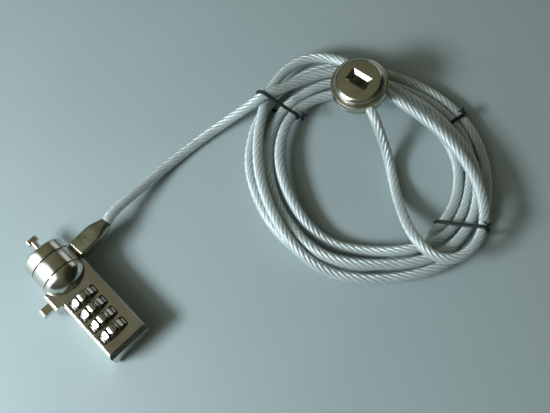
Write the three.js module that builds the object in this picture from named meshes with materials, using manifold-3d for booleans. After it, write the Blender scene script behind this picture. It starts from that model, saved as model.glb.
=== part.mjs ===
// Laptop cable lock: a combination lock head with four number wheels, a turning
// T-bar nose worked by a push button, a swivel collar with a crimped steel cable,
// and a slotted anchor disc on the cable's far end. Millimetres, +Z up.
// The origin is on the underside of the bottom cover, below the barrel axis.
// The barrel, wheels and T-bar share one axis along Y at X = 0, Z = AXIS_Z.
import * as THREE from "three";
import { mergeVertices } from "three/addons/utils/BufferGeometryUtils.js";
import Module from "manifold-3d";

const wasm = await Module();
wasm.setup();

// ---------------------------------------------------------------- dimensions
const AXIS_Z = 10.3; // height of the barrel axis
const GAP = 0.3; // clearance between touching pieces
const BODY = { x0: -8.5, x1: 11, y0: -19.5, y1: 21.5, z0: 1.5, z1: 13, bevel: 0.9, bevelLeft: 1.15, bevelRear: 1.9 };
const TAB = { x0: -11.9, x1: -8.0, y0: 11.8, y1: 20, z0: 3.5, z1: 13 };
const BARREL_R = 10.2; // dome, collar and front cap share it
const DOME_Y = 21.85; // centre of the rear dome
const DOME_DEPTH = 8.7; // the dome is a little flatter than a ball
const COLLAR = { y0: 22.15, y1: 29.45, bore: 4.95, port: 2.9 };
const CAP = { y0: 29.75, y1: 35.4, chamfer: 0.8, socket: 4.9, socketY: 33.0, hole: 2.75 };
const SLEEVE = { y0: 20.0, y1: 32.7, r: 4.6, bore: 2.75 };
const SPINDLE = { r: 2.4, y0: 19.15, y1: 34.9 };
const TNECK = { r1: 1.8, y1: 38.8, r2: 1.45, y2: 42.0 }; // the thin part turns inside the slot
const THEAD = { x: 5.4, z: 2.6, y1: 44.3 };
const CRANK = { r: 3.4, y0: 17.4, y1: 18.8, pinR: 0.6, pinY: 14.6, arm: 1.3 };
const WHEEL = { r: 6.6, lobes: 10, bore: 4.3, w: 4.4, pitch: 6.27, first: 7.9, count: 4 };
const WINDOW = { x: 6.45, w: 5.0 };
const CLUTCH = { r: 4.0, bore: 2.8, len: 4.6 };
const SHAFT = { r: 1.7, fin: 2.5, y0: -18.6, y1: 12.3 };
const COVER = { x0: -8.2, x1: 10.7, y0: -19.2, y1: 21.2, t: 1.2 };
const SCREW = { head: 1.6, headH: 0.7, shank: 0.9, len: 5.0, at: [[8.6, -15.9], [8.6, 9.0]] };
const BUTTON = { x0: -17.4, x1: -4.9, y0: 14.2, y1: 17.8, neckX: -8.6, neckY: 17.0, z0: 6.2, z1: 9.8, travel: 2.6 };
const SLIDER = { x0: -4.6, x1: 2.0, y0: 13.2, y1: 17.0, z0: 5.6, z1: 11.2 };
const SPRING = { x0: 5.0, x1: 9.5, r: 1.7, wire: 0.5, y: 15.6, z: 8.3 };
const FERRULE_Y = 25.6; // where its axis crosses the barrel axis
const FERRULE_TURN = 3.4; // degrees about Z
const CORD_D = 5.0; // steel cable with a clear sleeve
const CORD_LENGTH = 1529; // whole cable, ferrule to anchor disc
const COIL = { cx: 129.1, cy: -33.1, turn: 91.6, oa: 62.6, ob: 52.2, ia: 39.8, ib: 32.8, z0: 0.8, z1: 10.2, bevel: 1.6 };
const ANCHOR = {
  at: [151.0, -6.3, 14.3],
  ex: [0.995003, 0, 0.0998447],
  ey: [0.009727, 0.9952432, -0.0969346],
  n: [-0.0993698, 0.0974214, 0.9902700],
  r: 12.8, h: 6.0, capR: 11.4, capTop: 9.6, capZ0: 6.3, capZ1: 9.7,
  portAz: 247, portZ: 3.0, portR: 2.8,
};

// ------------------------------------------------------------------- helpers
const rad = (d) => (d * Math.PI) / 180;
function solid(geometry) {
  const g = new THREE.BufferGeometry();
  const src = geometry.index ? geometry.toNonIndexed() : geometry;
  g.setAttribute("position", src.getAttribute("position").clone());
  const m = mergeVertices(g, 1e-4);
  return new wasm.Manifold(
    new wasm.Mesh({
      numProp: 3,
      vertProperties: new Float32Array(m.attributes.position.array),
      triVerts: new Uint32Array(m.index.array),
    }),
  );
}
function box(x0, x1, y0, y1, z0, z1) {
  const g = new THREE.BoxGeometry(x1 - x0, y1 - y0, z1 - z0);
  g.translate((x0 + x1) / 2, (y0 + y1) / 2, (z0 + z1) / 2);
  return solid(g);
}
// A cylinder along an axis from a to b through (u, v) of the other two axes.
function rod(axis, r, a, b, u, v, seg = 24, r2 = r) {
  const g = new THREE.CylinderGeometry(r2, r, b - a, seg, 1);
  g.translate(0, (a + b) / 2, 0);
  if (axis === "x") {
    g.rotateZ(-Math.PI / 2);
    g.translate(0, u, v);
  } else if (axis === "y") {
    g.translate(u, 0, v);
  } else {
    g.rotateX(Math.PI / 2);
    g.translate(u, v, 0);
  }
  return solid(g);
}
// A closed profile of [radius, height] turned about the local Y axis.
function turned(profile, seg = 40) {
  const pts = profile.map(([r, h]) => new THREE.Vector2(r, h));
  const s = solid(new THREE.LatheGeometry(pts, seg));
  return s;
}
// A flat outline in (x, z) pushed along Y from y0 to y1.
function pushY(points, y0, y1) {
  const shape = new THREE.Shape(points.map(([x, z]) => new THREE.Vector2(x, z)));
  const g = new THREE.ExtrudeGeometry(shape, { depth: y1 - y0, bevelEnabled: false });
  g.rotateX(Math.PI / 2);
  g.translate(0, y1, 0);
  return solid(g);
}
// A flat outline in (x, y) pushed up from z0 to z1.
function pushZ(points, z0, z1, opts = {}) {
  const shape = new THREE.Shape(points.map(([x, y]) => new THREE.Vector2(x, y)));
  const g = new THREE.ExtrudeGeometry(shape, { depth: z1 - z0, bevelEnabled: false, ...opts });
  g.translate(0, 0, z0);
  return solid(g);
}
// A round tube along smooth points, closed at both ends.
function tube(points, r, sides, steps) {
  const curve = new THREE.CatmullRomCurve3(points.map((p) => new THREE.Vector3(...p)), false, "centripetal");
  const shape = new THREE.Shape();
  for (let i = 0; i < sides; i++) {
    const a = (i / sides) * 2 * Math.PI;
    if (i) shape.lineTo(r * Math.cos(a), r * Math.sin(a));
    else shape.moveTo(r, 0);
  }
  shape.closePath();
  return solid(new THREE.ExtrudeGeometry(shape, { steps, extrudePath: curve, bevelEnabled: false }));
}
const join = (...s) => s.reduce((a, b) => a.add(b));
const cut = (a, ...s) => s.reduce((x, b) => x.subtract(b), a);

const part = new THREE.Group();
const MAT = {
  nickel: [0xb9b7a8, 0.22, 1.0],
  chrome: [0xd4d6d2, 0.12, 1.0],
  steel: [0x8f918d, 0.4, 1.0],
  brass: [0xa8925a, 0.35, 1.0],
  spring: [0x9a9c98, 0.35, 1.0],
  cable: [0xaebdbb, 0.35, 0.0],
  tie: [0x151817, 0.5, 0.0],
};
function add(name, s, mat, group = part) {
  const m = s.getMesh();
  const g = new THREE.BufferGeometry();
  const v = new Float32Array(m.numVert * 3);
  for (let i = 0; i < m.numVert; i++)
    v.set(m.vertProperties.subarray(i * m.numProp, i * m.numProp + 3), i * 3);
  g.setAttribute("position", new THREE.BufferAttribute(v, 3));
  g.setIndex(new THREE.BufferAttribute(new Uint32Array(m.triVerts), 1));
  g.computeVertexNormals();
  const [color, roughness, metalness] = MAT[mat];
  const mesh = new THREE.Mesh(g, new THREE.MeshStandardMaterial({ color, roughness, metalness }));
  mesh.name = name;
  group.add(mesh);
  return mesh;
}
// A ball built as a turned half circle, its axis along Y.
function ball(r, x, y, z, seg = 40, rings = 20) {
  const p = [];
  for (let i = 0; i <= rings; i++) {
    const a = -Math.PI / 2 + (i / rings) * Math.PI;
    p.push([i === 0 || i === rings ? 0 : r * Math.cos(a), r * Math.sin(a)]);
  }
  const pts = p.map(([a, b]) => new THREE.Vector2(a, b));
  const g = new THREE.LatheGeometry(pts, seg);
  g.translate(x, y, z);
  return solid(g);
}

// ------------------------------------------------------------- lock housing
{
  const b = BODY.bevel;
  const outline = [
    [BODY.x0, BODY.z0], [BODY.x1, BODY.z0], [BODY.x1, BODY.z1 - b],
    [BODY.x1 - b, BODY.z1], [BODY.x0 + BODY.bevelLeft, BODY.z1], [BODY.x0, BODY.z1 - BODY.bevelLeft],
  ];
  let body = pushY(outline, BODY.y0, BODY.y1);
  // bevel along the rear top edge
  const wedge = new THREE.Shape([
    new THREE.Vector2(BODY.y0 - 1, BODY.z1 - BODY.bevelRear - 1),
    new THREE.Vector2(BODY.y0 + BODY.bevelRear + 1, BODY.z1 + 1),
    new THREE.Vector2(BODY.y0 - 1, BODY.z1 + 1),
  ]);
  const wg = new THREE.ExtrudeGeometry(wedge, { depth: 40, bevelEnabled: false });
  wg.rotateX(Math.PI / 2);
  wg.rotateZ(Math.PI / 2);
  wg.translate(20, 0, 0);
  body = body.subtract(solid(wg));
  const t = BODY.bevelLeft;
  const tab = pushY([[TAB.x0, TAB.z0], [TAB.x1, TAB.z0], [TAB.x1, TAB.z1], [TAB.x0 + t, TAB.z1], [TAB.x0, TAB.z1 - t]], TAB.y0, TAB.y1);
  const dome = cut(
    ball(BARREL_R, 0, 0, 0, 48, 24).scale([1, DOME_DEPTH / BARREL_R, 1]).translate([0, DOME_Y, AXIS_Z]),
    box(-20, 20, DOME_Y, DOME_Y + 20, -20, 40),
    box(-20, 20, 0, 60, -20, BODY.z0),
  );
  body = join(body, tab, dome);
  // wheel chamber, open below
  body = body.subtract(box(-7.35, 9.8, -17.9, 10.8, 0, 11.8));
  // chamber of the crank and slider, open below, with a round top for the crank
  body = body.subtract(box(-5, 9.8, 12.6, 17.4, 0, 11.6));
  body = body.subtract(box(-3.95, 3.95, 17.0, 19.1, 0, AXIS_Z));
  body = body.subtract(rod("y", 3.95, 17.0, 19.1, 0, AXIS_Z, 28));
  // windows over the wheels
  for (let i = 0; i < WHEEL.count; i++) {
    const y = WHEEL.first - i * WHEEL.pitch;
    body = body.subtract(box(-WINDOW.x, WINDOW.x, y - WINDOW.w / 2, y + WINDOW.w / 2, 11, 14));
  }
  // socket of the swivel sleeve, spindle hole, button guide, shaft seats
  body = cut(
    body,
    rod("y", 4.9, 19.7, DOME_Y + 1, 0, AXIS_Z, 32),
    rod("y", 2.8, 18.5, 20.5, 0, AXIS_Z, 24),
    box(-13, -4.5, 13.9, 18.1, 5.9, 10.1),
    rod("y", 2.0, -18.95, -17, 0, AXIS_Z, 20),
    rod("y", 2.0, -17.5, 13, 0, AXIS_Z, 20),
  );
  // screw bosses
  const boss = join(
    box(7.0, 10.2, -18.2, -13.9, BODY.z0, 8),
    box(7.0, 10.2, 7.3, 11.2, BODY.z0, 8),
  );
  body = body.add(boss);
  for (const [x, y] of SCREW.at) body = body.subtract(rod("z", SCREW.shank + 0.3, 0, 6.8, x, y, 16));
  add("lock_housing", body, "nickel");
}

// ------------------------------------------------------------- bottom cover
{
  let c = pushZ(
    [
      [COVER.x0 + 0.6, COVER.y0], [COVER.x1 - 0.6, COVER.y0], [COVER.x1, COVER.y0 + 0.6],
      [COVER.x1, COVER.y1 - 0.6], [COVER.x1 - 0.6, COVER.y1], [COVER.x0 + 0.6, COVER.y1],
      [COVER.x0, COVER.y1 - 0.6], [COVER.x0, COVER.y0 + 0.6],
    ],
    0, COVER.t,
  );
  for (const [x, y] of SCREW.at) {
    c = c.subtract(rod("z", SCREW.head + 0.3, -1, 0.9, x, y, 20));
    c = c.subtract(rod("z", SCREW.shank + 0.3, -1, 3, x, y, 16));
  }
  add("bottom_cover", c, "nickel");
  SCREW.at.forEach(([x, y], i) => {
    let s = rod("z", SCREW.head, 0.0, 0.6, x, y, 20);
    s = s.add(rod("z", SCREW.shank, 0.3, SCREW.len, x, y, 16));
    s = s.subtract(box(x - 0.25, x + 0.25, y - 1.2, y + 1.2, -1, 0.3));
    s = s.subtract(box(x - 1.2, x + 1.2, y - 0.25, y + 0.25, -1, 0.3));
    add("cover_screw_" + (i + 1), s, "steel");
  });
}

// ------------------------------------------------- number wheels and clutches
function wheelOutline() {
  // rounded lobes with narrow valleys between them, a lobe on top
  const pts = [];
  const n = WHEEL.lobes * 8;
  for (let i = 0; i < n; i++) {
    const a = (i / n) * 2 * Math.PI;
    const c = Math.cos(WHEEL.lobes * a);
    const r = WHEEL.r - 1.15 * Math.pow((1 - c) / 2, 2.2);
    pts.push([r * Math.sin(a), AXIS_Z + r * Math.cos(a)]);
  }
  return pts.reverse();
}
for (let i = 0; i < WHEEL.count; i++) {
  const y = WHEEL.first - i * WHEEL.pitch;
  let d = pushY(wheelOutline(), y - WHEEL.w / 2, y + WHEEL.w / 2);
  d = d.subtract(rod("y", WHEEL.bore, y - 5, y + 5, 0, AXIS_Z, 32));
  add("dial_" + (i + 1), d, "nickel");
  let c = rod("y", CLUTCH.r, y - CLUTCH.len / 2, y + CLUTCH.len / 2, 0, AXIS_Z, 28);
  c = c.subtract(rod("y", CLUTCH.bore, y - 5, y + 5, 0, AXIS_Z, 24));
  c = c.subtract(box(-0.7, 0.7, y - 5, y + 5, AXIS_Z, AXIS_Z + 3.4));
  add("clutch_sleeve_" + (i + 1), c, "brass");
}

// ------------------------------------------------------ shaft, leaf spring
{
  let s = rod("y", SHAFT.r, SHAFT.y0, SHAFT.y1, 0, AXIS_Z, 20);
  for (let i = 0; i < WHEEL.count; i++) {
    const y = WHEEL.first - i * WHEEL.pitch;
    s = s.add(box(-0.4, 0.4, y - 1.4, y + 1.4, AXIS_Z, AXIS_Z + SHAFT.fin));
  }
  add("dial_shaft", s, "steel");
  let l = box(-3, 3, -13.6, 10.2, 1.5, 2.0);
  for (let i = 0; i < WHEEL.count; i++) {
    const y = WHEEL.first - i * WHEEL.pitch;
    l = l.add(pushY([[-1.4, 1.9], [1.4, 1.9], [0.5, 3.0], [-0.5, 3.0]], y - 1, y + 1));
  }
  add("detent_spring", l, "spring");
}

// ------------------------------------------------------------- swivel nose
{
  add("swivel_sleeve", placeY(turned([
    [SLEEVE.bore, SLEEVE.y0], [SLEEVE.r, SLEEVE.y0], [SLEEVE.r, SLEEVE.y1], [SLEEVE.bore, SLEEVE.y1], [SLEEVE.bore, SLEEVE.y0],
  ], 32)), "steel");
  const c = CAP.chamfer;
  add("front_cap", placeY(turned([
    [CAP.socket, CAP.y0], [BARREL_R, CAP.y0], [BARREL_R, CAP.y1 - c], [BARREL_R - c, CAP.y1],
    [CAP.hole, CAP.y1], [CAP.hole, CAP.socketY], [CAP.socket, CAP.socketY], [CAP.socket, CAP.y0],
  ], 48)), "nickel");
  let col = placeY(turned([
    [COLLAR.bore, COLLAR.y0], [BARREL_R, COLLAR.y0], [BARREL_R, COLLAR.y1], [COLLAR.bore, COLLAR.y1], [COLLAR.bore, COLLAR.y0],
  ], 48));
  col = col.subtract(swing(rod("x", COLLAR.port, 3, 12, 0, 0, 24)));
  add("swivel_collar", col, "nickel");
}
function placeY(s) {
  return s.translate([0, 0, AXIS_Z]);
}
// from the ferrule's own frame to its place on the collar
function swing(s) {
  return s.rotate([0, 0, FERRULE_TURN]).translate([0, FERRULE_Y, AXIS_Z]);
}

// ------------------------------------------------------------ T-bar spindle
{
  let s = rod("y", SPINDLE.r, SPINDLE.y0, SPINDLE.y1, 0, AXIS_Z, 24);
  s = s.add(rod("y", TNECK.r1, SPINDLE.y1 - 1, TNECK.y1, 0, AXIS_Z, 20));
  s = s.add(rod("y", TNECK.r2, TNECK.y1 - 0.5, TNECK.y2 + 0.1, 0, AXIS_Z, 20));
  s = s.add(box(-THEAD.x / 2, THEAD.x / 2, TNECK.y2, THEAD.y1, AXIS_Z - THEAD.z / 2, AXIS_Z + THEAD.z / 2));
  add("tbar_spindle", s, "chrome");
  let k = rod("y", CRANK.r, CRANK.y0, CRANK.y1, 0, AXIS_Z, 28);
  k = k.add(rod("y", CRANK.pinR, CRANK.pinY, CRANK.y0 + 0.5, -CRANK.arm, AXIS_Z - CRANK.arm, 14));
  add("spindle_crank", k, "steel");
}

// ---------------------------------------------------- button, slider, spring
{
  let b = box(BUTTON.x0 + 0.4, BUTTON.neckX, BUTTON.y0, BUTTON.y1, BUTTON.z0, BUTTON.z1);
  b = b.add(box(BUTTON.neckX - 1, BUTTON.x1, BUTTON.y0, BUTTON.neckY, BUTTON.z0, BUTTON.z1));
  b = b.add(box(BUTTON.x0, BUTTON.x0 + 2, BUTTON.y0 + 0.4, BUTTON.y1 - 0.4, BUTTON.z0 + 0.4, BUTTON.z1 - 0.4));
  add("release_button", b, "nickel");
  let s = box(SLIDER.x0, SLIDER.x1, SLIDER.y0, SLIDER.y1, SLIDER.z0, SLIDER.z1);
  s = s.subtract(box(-CRANK.arm - 0.9, -CRANK.arm + 0.9, 14.2, 19, 7.5, 10.0));
  add("release_slider", s, "steel");
  // compression spring behind the slider, coils closed at both ends
  const turns = 4, pts = [];
  const steps = turns * 12;
  for (let i = 0; i <= steps; i++) {
    const a = (i / steps) * turns * 2 * Math.PI;
    const x = SPRING.x0 + SPRING.wire / 2 + (i / steps) * (SPRING.x1 - SPRING.x0 - SPRING.wire);
    pts.push([x, SPRING.y + (SPRING.r - SPRING.wire / 2) * Math.cos(a), SPRING.z + (SPRING.r - SPRING.wire / 2) * Math.sin(a)]);
  }
  add("button_spring", tube(pts, SPRING.wire / 2, 6, 48), "spring");
}

// ------------------------------------------------------------ cable ferrule
{
  // made along X through the origin, then swung to its place on the collar
  let f = rod("x", 2.6, 6.0, 10.9, 0, 0, 24);
  f = f.add(box(10.45, 11.6, -3.9, 3.9, -3.5, 3.5));
  // crimped body: a flattened octagon that tapers to the round cable mouth
  const ring = (x, hy, hz, p) => {
    const out = [];
    for (let i = 0; i < 24; i++) {
      const a = ((i + 0.5) / 24) * 2 * Math.PI;
      const c = Math.cos(a), s = Math.sin(a);
      out.push([x, hy * Math.sign(c) * Math.pow(Math.abs(c), p), hz * Math.sign(s) * Math.pow(Math.abs(s), p)]);
    }
    return out;
  };
  const rings = [ring(11.5, 4.1, 3.4, 0.45), ring(20.0, 4.1, 3.4, 0.45), ring(23.5, 3.7, 3.2, 0.6), ring(26.4, 3.0, 2.95, 0.9), ring(27.9, 2.75, 2.75, 1)];
  const v = [], idx = [];
  rings.forEach((r) => r.forEach((p) => v.push(...p)));
  const n = 24;
  for (let k = 0; k + 1 < rings.length; k++)
    for (let i = 0; i < n; i++) {
      const a = k * n + i, b = k * n + ((i + 1) % n), c = a + n, d = b + n;
      idx.push(a, b, d, a, d, c);
    }
  const c0 = v.length / 3;
  v.push(rings[0][0][0], 0, 0);
  v.push(rings[rings.length - 1][0][0], 0, 0);
  for (let i = 0; i < n; i++) {
    idx.push(c0, (i + 1) % n, i);
    const o = (rings.length - 1) * n;
    idx.push(c0 + 1, o + i, o + ((i + 1) % n));
  }
  const g = new THREE.BufferGeometry();
  g.setAttribute("position", new THREE.BufferAttribute(new Float32Array(v), 3));
  g.setIndex(idx);
  let body = solid(g);
  if (body.volume() < 0) {
    g.setIndex(idx.reverse());
    body = solid(g);
  }
  add("cable_ferrule", swing(f.add(body)), "nickel");
}

// ------------------------------------------------------------- cable pieces
function ellipse(a, b, n = 48) {
  const t = rad(COIL.turn), out = [];
  for (let i = 0; i < n; i++) {
    const p = (i / n) * 2 * Math.PI;
    const x = a * Math.cos(p), y = b * Math.sin(p);
    out.push([COIL.cx + x * Math.cos(t) - y * Math.sin(t), COIL.cy + x * Math.sin(t) + y * Math.cos(t)]);
  }
  return out;
}
function coilRing(grow) {
  const shape = new THREE.Shape(ellipse(COIL.oa - COIL.bevel + grow, COIL.ob - COIL.bevel + grow).map(([x, y]) => new THREE.Vector2(x, y)));
  shape.holes.push(new THREE.Path(ellipse(COIL.ia + COIL.bevel - grow, COIL.ib + COIL.bevel - grow).map(([x, y]) => new THREE.Vector2(x, y))));
  const g = new THREE.ExtrudeGeometry(shape, {
    depth: COIL.z1 - COIL.z0 - 2 * COIL.bevel + 2 * grow,
    bevelEnabled: true, bevelThickness: COIL.bevel, bevelSize: COIL.bevel, bevelSegments: 1,
  });
  g.translate(0, 0, COIL.z0 + COIL.bevel - grow);
  return solid(g);
}
const grownCoil = coilRing(GAP);
add("cable_coil", coilRing(0), "cable");

const LEAD_PATH = [
  [28.2, 27.28, 10.3], [30.6, 27.42, 10.3], [34.4, 28.1, 9.95], [40.2, 29.2, 8.7], [49.9, 30.45, 6.3], [62.0, 31.0, 4.0],
  [74.6, 31.0, 2.7], [86.0, 30.1, 2.9], [97.0, 28.3, 4.2], [106.0, 25.9, 5.2], [114.0, 22.5, 5.4],
];
{
  let t = tube(LEAD_PATH, CORD_D / 2, 10, 30);
  t = t.subtract(grownCoil);
  add("cable_lead", biggest(t), "cable");
}
// keeps the largest closed body of a cut piece
function biggest(s) {
  return s.decompose().sort((a, b) => b.volume() - a.volume())[0];
}

// anchor disc frame: local (a, b, c) to the part's frame
const A3 = new THREE.Vector3(...ANCHOR.at);
const EX = new THREE.Vector3(...ANCHOR.ex), EY = new THREE.Vector3(...ANCHOR.ey), EN = new THREE.Vector3(...ANCHOR.n);
const inDisc = (a, b, c) => A3.clone().addScaledVector(EX, a).addScaledVector(EY, b).addScaledVector(EN, c).toArray();
const U = [Math.cos(rad(ANCHOR.portAz)), Math.sin(rad(ANCHOR.portAz))];
const onPort = (r, z = ANCHOR.portZ) => inDisc(U[0] * r, U[1] * r, z);
const TAIL_PATH = [
  [143.0, 24.8, 5.6], [147.3, 23.7, 7.4], [151.3, 20.9, 9.0], [154.4, 16.7, 10.2], [157.0, 10.0, 10.6],
  [157.9, 4.0, 10.7], [158.5, -3.5, 10.9], [159.0, -10.0, 11.2], [159.5, -17.0, 12.0], [160.1, -25.0, 12.9],
  [161.3, -35.0, 13.05], [161.8, -45.0, 13.05], [160.6, -56.5, 13.05], [156.8, -70.0, 13.05],
  [151.2, -80.0, 13.05], [144.0, -86.9, 13.05], [134.8, -90.6, 13.05], [126.5, -90.2, 13.05],
  [120.6, -86.8, 13.1], [117.2, -80.4, 13.2], [116.9, -74.5, 13.1], [118.7, -68.2, 11.6], [122.2, -61.5, 8.6],
  [127.15, -54.35, 5.15], [132.9, -46.5, 2.95], [135.8, -42.45, 2.95], [138.3, -38.35, 4.16],
  [140.15, -34.48, 6.7], [141.3, -30.96, 10.0], [142.1, -27.55, 13.58], [143.19, -23.78, 16.6],
  onPort(15.0), onPort(12.8), onPort(9.6),
];
{
  let t = tube(TAIL_PATH, CORD_D / 2, 10, 78);
  t = t.subtract(grownCoil);
  add("cable_tail", biggest(t), "cable");
}

// -------------------------------------------------------------- cable ties
// A loop round the bundle: centre, direction across the bundle, its half width,
// the heights it encloses, and the little head of the tie.
function tie(name, cx, cy, deg, half, top, headAt) {
  const g = new THREE.Group();
  const w = 2.2, t = 0.5;
  const outer = box(-half - t, half + t, -w / 2, w / 2, 0, top + t);
  const inner = box(-half, half, -w, w, t - 0.1, top);
  let s = outer.subtract(inner);
  s = s.add(box(headAt - 1.6, headAt + 1.6, -1.9, 1.9, top, top + 2.2));
  g.position.set(cx, cy, 0);
  g.rotation.z = rad(deg);
  part.add(g);
  add(name, s, "tie", g);
}
const across = (deg) => {
  // the bundle's middle point on a ray at deg from the coil centre, and its half width
  const t = rad(COIL.turn), d = rad(deg) - t;
  const at = (a, b) => 1 / Math.hypot(Math.cos(d) / a, Math.sin(d) / b);
  const o = at(COIL.oa, COIL.ob), i = at(COIL.ia, COIL.ib);
  const m = (o + i) / 2;
  return [COIL.cx + m * Math.cos(rad(deg)), COIL.cy + m * Math.sin(rad(deg)), (o - i) / 2];
};
{
  let [x, y, h] = across(98);
  tie("tie_1", x, y, 98, h + 0.9, 10.8, -9.5);
  [x, y, h] = across(347);
  // the tail lies along the bundle's inner edge here, so the loop reaches further in
  x -= 1.6 * Math.cos(rad(347));
  y -= 1.6 * Math.sin(rad(347));
  tie("tie_2", x, y, 347, h + 2.6, 16.0, 8.5);
  [x, y, h] = across(281);
  tie("tie_3", x, y, 281, h + 0.9, 16.0, -9.5);
}

// ------------------------------------------------------------- anchor disc
{
  const frame = new THREE.Group();
  const m = new THREE.Matrix4().makeBasis(EX, EY, EN);
  frame.quaternion.setFromRotationMatrix(m);
  frame.position.copy(A3);
  part.add(frame);
  const up = (s) => s.rotate([90, 0, 0]); // turned pieces stand on their local Y axis
  let base = up(turned([
    [0, 0], [ANCHOR.r - 0.5, 0], [ANCHOR.r, 0.5], [ANCHOR.r, ANCHOR.h - 0.6], [ANCHOR.r - 0.6, ANCHOR.h],
    [4.6, ANCHOR.h], [4.6, 1.4], [0, 1.4],
  ], 48));
  const port = rod("x", ANCHOR.portR, 5.4, 20, 0, ANCHOR.portZ, 24).rotate([0, 0, ANCHOR.portAz]);
  base = base.subtract(port);
  add("anchor_base", base, "nickel", frame);
  let cap = up(turned([
    [0, ANCHOR.capZ0], [ANCHOR.capR, ANCHOR.capZ0], [ANCHOR.capR, 8.1], [11.0, 8.5],
    [ANCHOR.capTop, ANCHOR.capZ1], [0, ANCHOR.capZ1],
  ], 48));
  // rectangular pocket that narrows to the slot
  const deg = (Math.atan2(-0.991, 0.135) * 180) / Math.PI;
  const frustum = (l0, w0, z0, l1, w1, z1) => {
    const v = [];
    for (const [l, w, z] of [[l0, w0, z0], [l1, w1, z1]])
      v.push([-l / 2, -w / 2, z], [l / 2, -w / 2, z], [l / 2, w / 2, z], [-l / 2, w / 2, z]);
    const g = new THREE.BufferGeometry();
    g.setAttribute("position", new THREE.BufferAttribute(new Float32Array(v.flat()), 3));
    g.setIndex([0, 2, 1, 0, 3, 2, 4, 5, 6, 4, 6, 7, 0, 1, 5, 0, 5, 4, 1, 2, 6, 1, 6, 5, 2, 3, 7, 2, 7, 6, 3, 0, 4, 3, 4, 7]);
    return solid(g);
  };
  const pocket = frustum(7.4, 3.4, 8.1, 10.95, 7.06, 9.84).rotate([0, 0, deg]);
  const slot = box(-3.7, 3.7, -1.7, 1.7, 5, 9).rotate([0, 0, deg]);
  cap = cut(cap, pocket, slot);
  add("anchor_cap", cap, "nickel", frame);
  const crimp = rod("x", 2.4, 5.7, 9.2, 0, ANCHOR.portZ, 20).rotate([0, 0, ANCHOR.portAz]);
  add("anchor_crimp", crimp, "steel", frame);
}

export default part;
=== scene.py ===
# Laptop cable lock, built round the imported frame. Metres, +Z up.
import math

import bmesh
import bpy
import numpy as np
from mathutils import Matrix, Vector


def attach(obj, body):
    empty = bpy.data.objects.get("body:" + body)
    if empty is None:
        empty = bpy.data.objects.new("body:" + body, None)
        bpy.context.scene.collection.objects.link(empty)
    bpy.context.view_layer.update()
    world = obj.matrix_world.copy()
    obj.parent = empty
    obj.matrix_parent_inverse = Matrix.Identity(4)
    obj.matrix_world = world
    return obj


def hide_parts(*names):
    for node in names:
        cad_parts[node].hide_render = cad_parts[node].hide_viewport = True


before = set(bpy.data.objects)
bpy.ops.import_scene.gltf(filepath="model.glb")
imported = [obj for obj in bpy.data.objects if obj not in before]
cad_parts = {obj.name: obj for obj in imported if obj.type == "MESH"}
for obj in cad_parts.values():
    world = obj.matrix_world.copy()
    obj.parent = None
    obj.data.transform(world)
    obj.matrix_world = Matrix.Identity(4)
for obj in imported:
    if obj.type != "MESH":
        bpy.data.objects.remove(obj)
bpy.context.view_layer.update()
MM = 0.001
AXIS_Z = 10.3  # height of the barrel's axis, in millimetres

scene = bpy.context.scene
scene.view_settings.view_transform = "Standard"
scene.view_settings.look = "None"
scene.view_settings.exposure = 0.0
scene.view_settings.gamma = 1.0

# ---------------------------------------------------------------- camera
cam_data = bpy.data.cameras.new("camera")
cam_data.sensor_fit = "HORIZONTAL"
cam_data.sensor_width = 36.0
cam_data.lens = 18.0 / math.tan(math.radians(20.0))
cam_data.clip_start = 0.01
cam_data.clip_end = 20.0
cam = bpy.data.objects.new("camera", cam_data)
scene.collection.objects.link(cam)
RIGHT = Vector((0.714473, -0.699663, 0.0))
UP = Vector((0.665419, 0.679504, 0.309017))
LOOK = Vector((0.216208, 0.220784, -0.951057))
rot = Matrix((RIGHT, UP, -LOOK)).transposed().to_4x4()
cam.matrix_world = Matrix.Translation(Vector((14.238, -91.199, 323.359)) * MM) @ rot
scene.camera = cam

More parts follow.
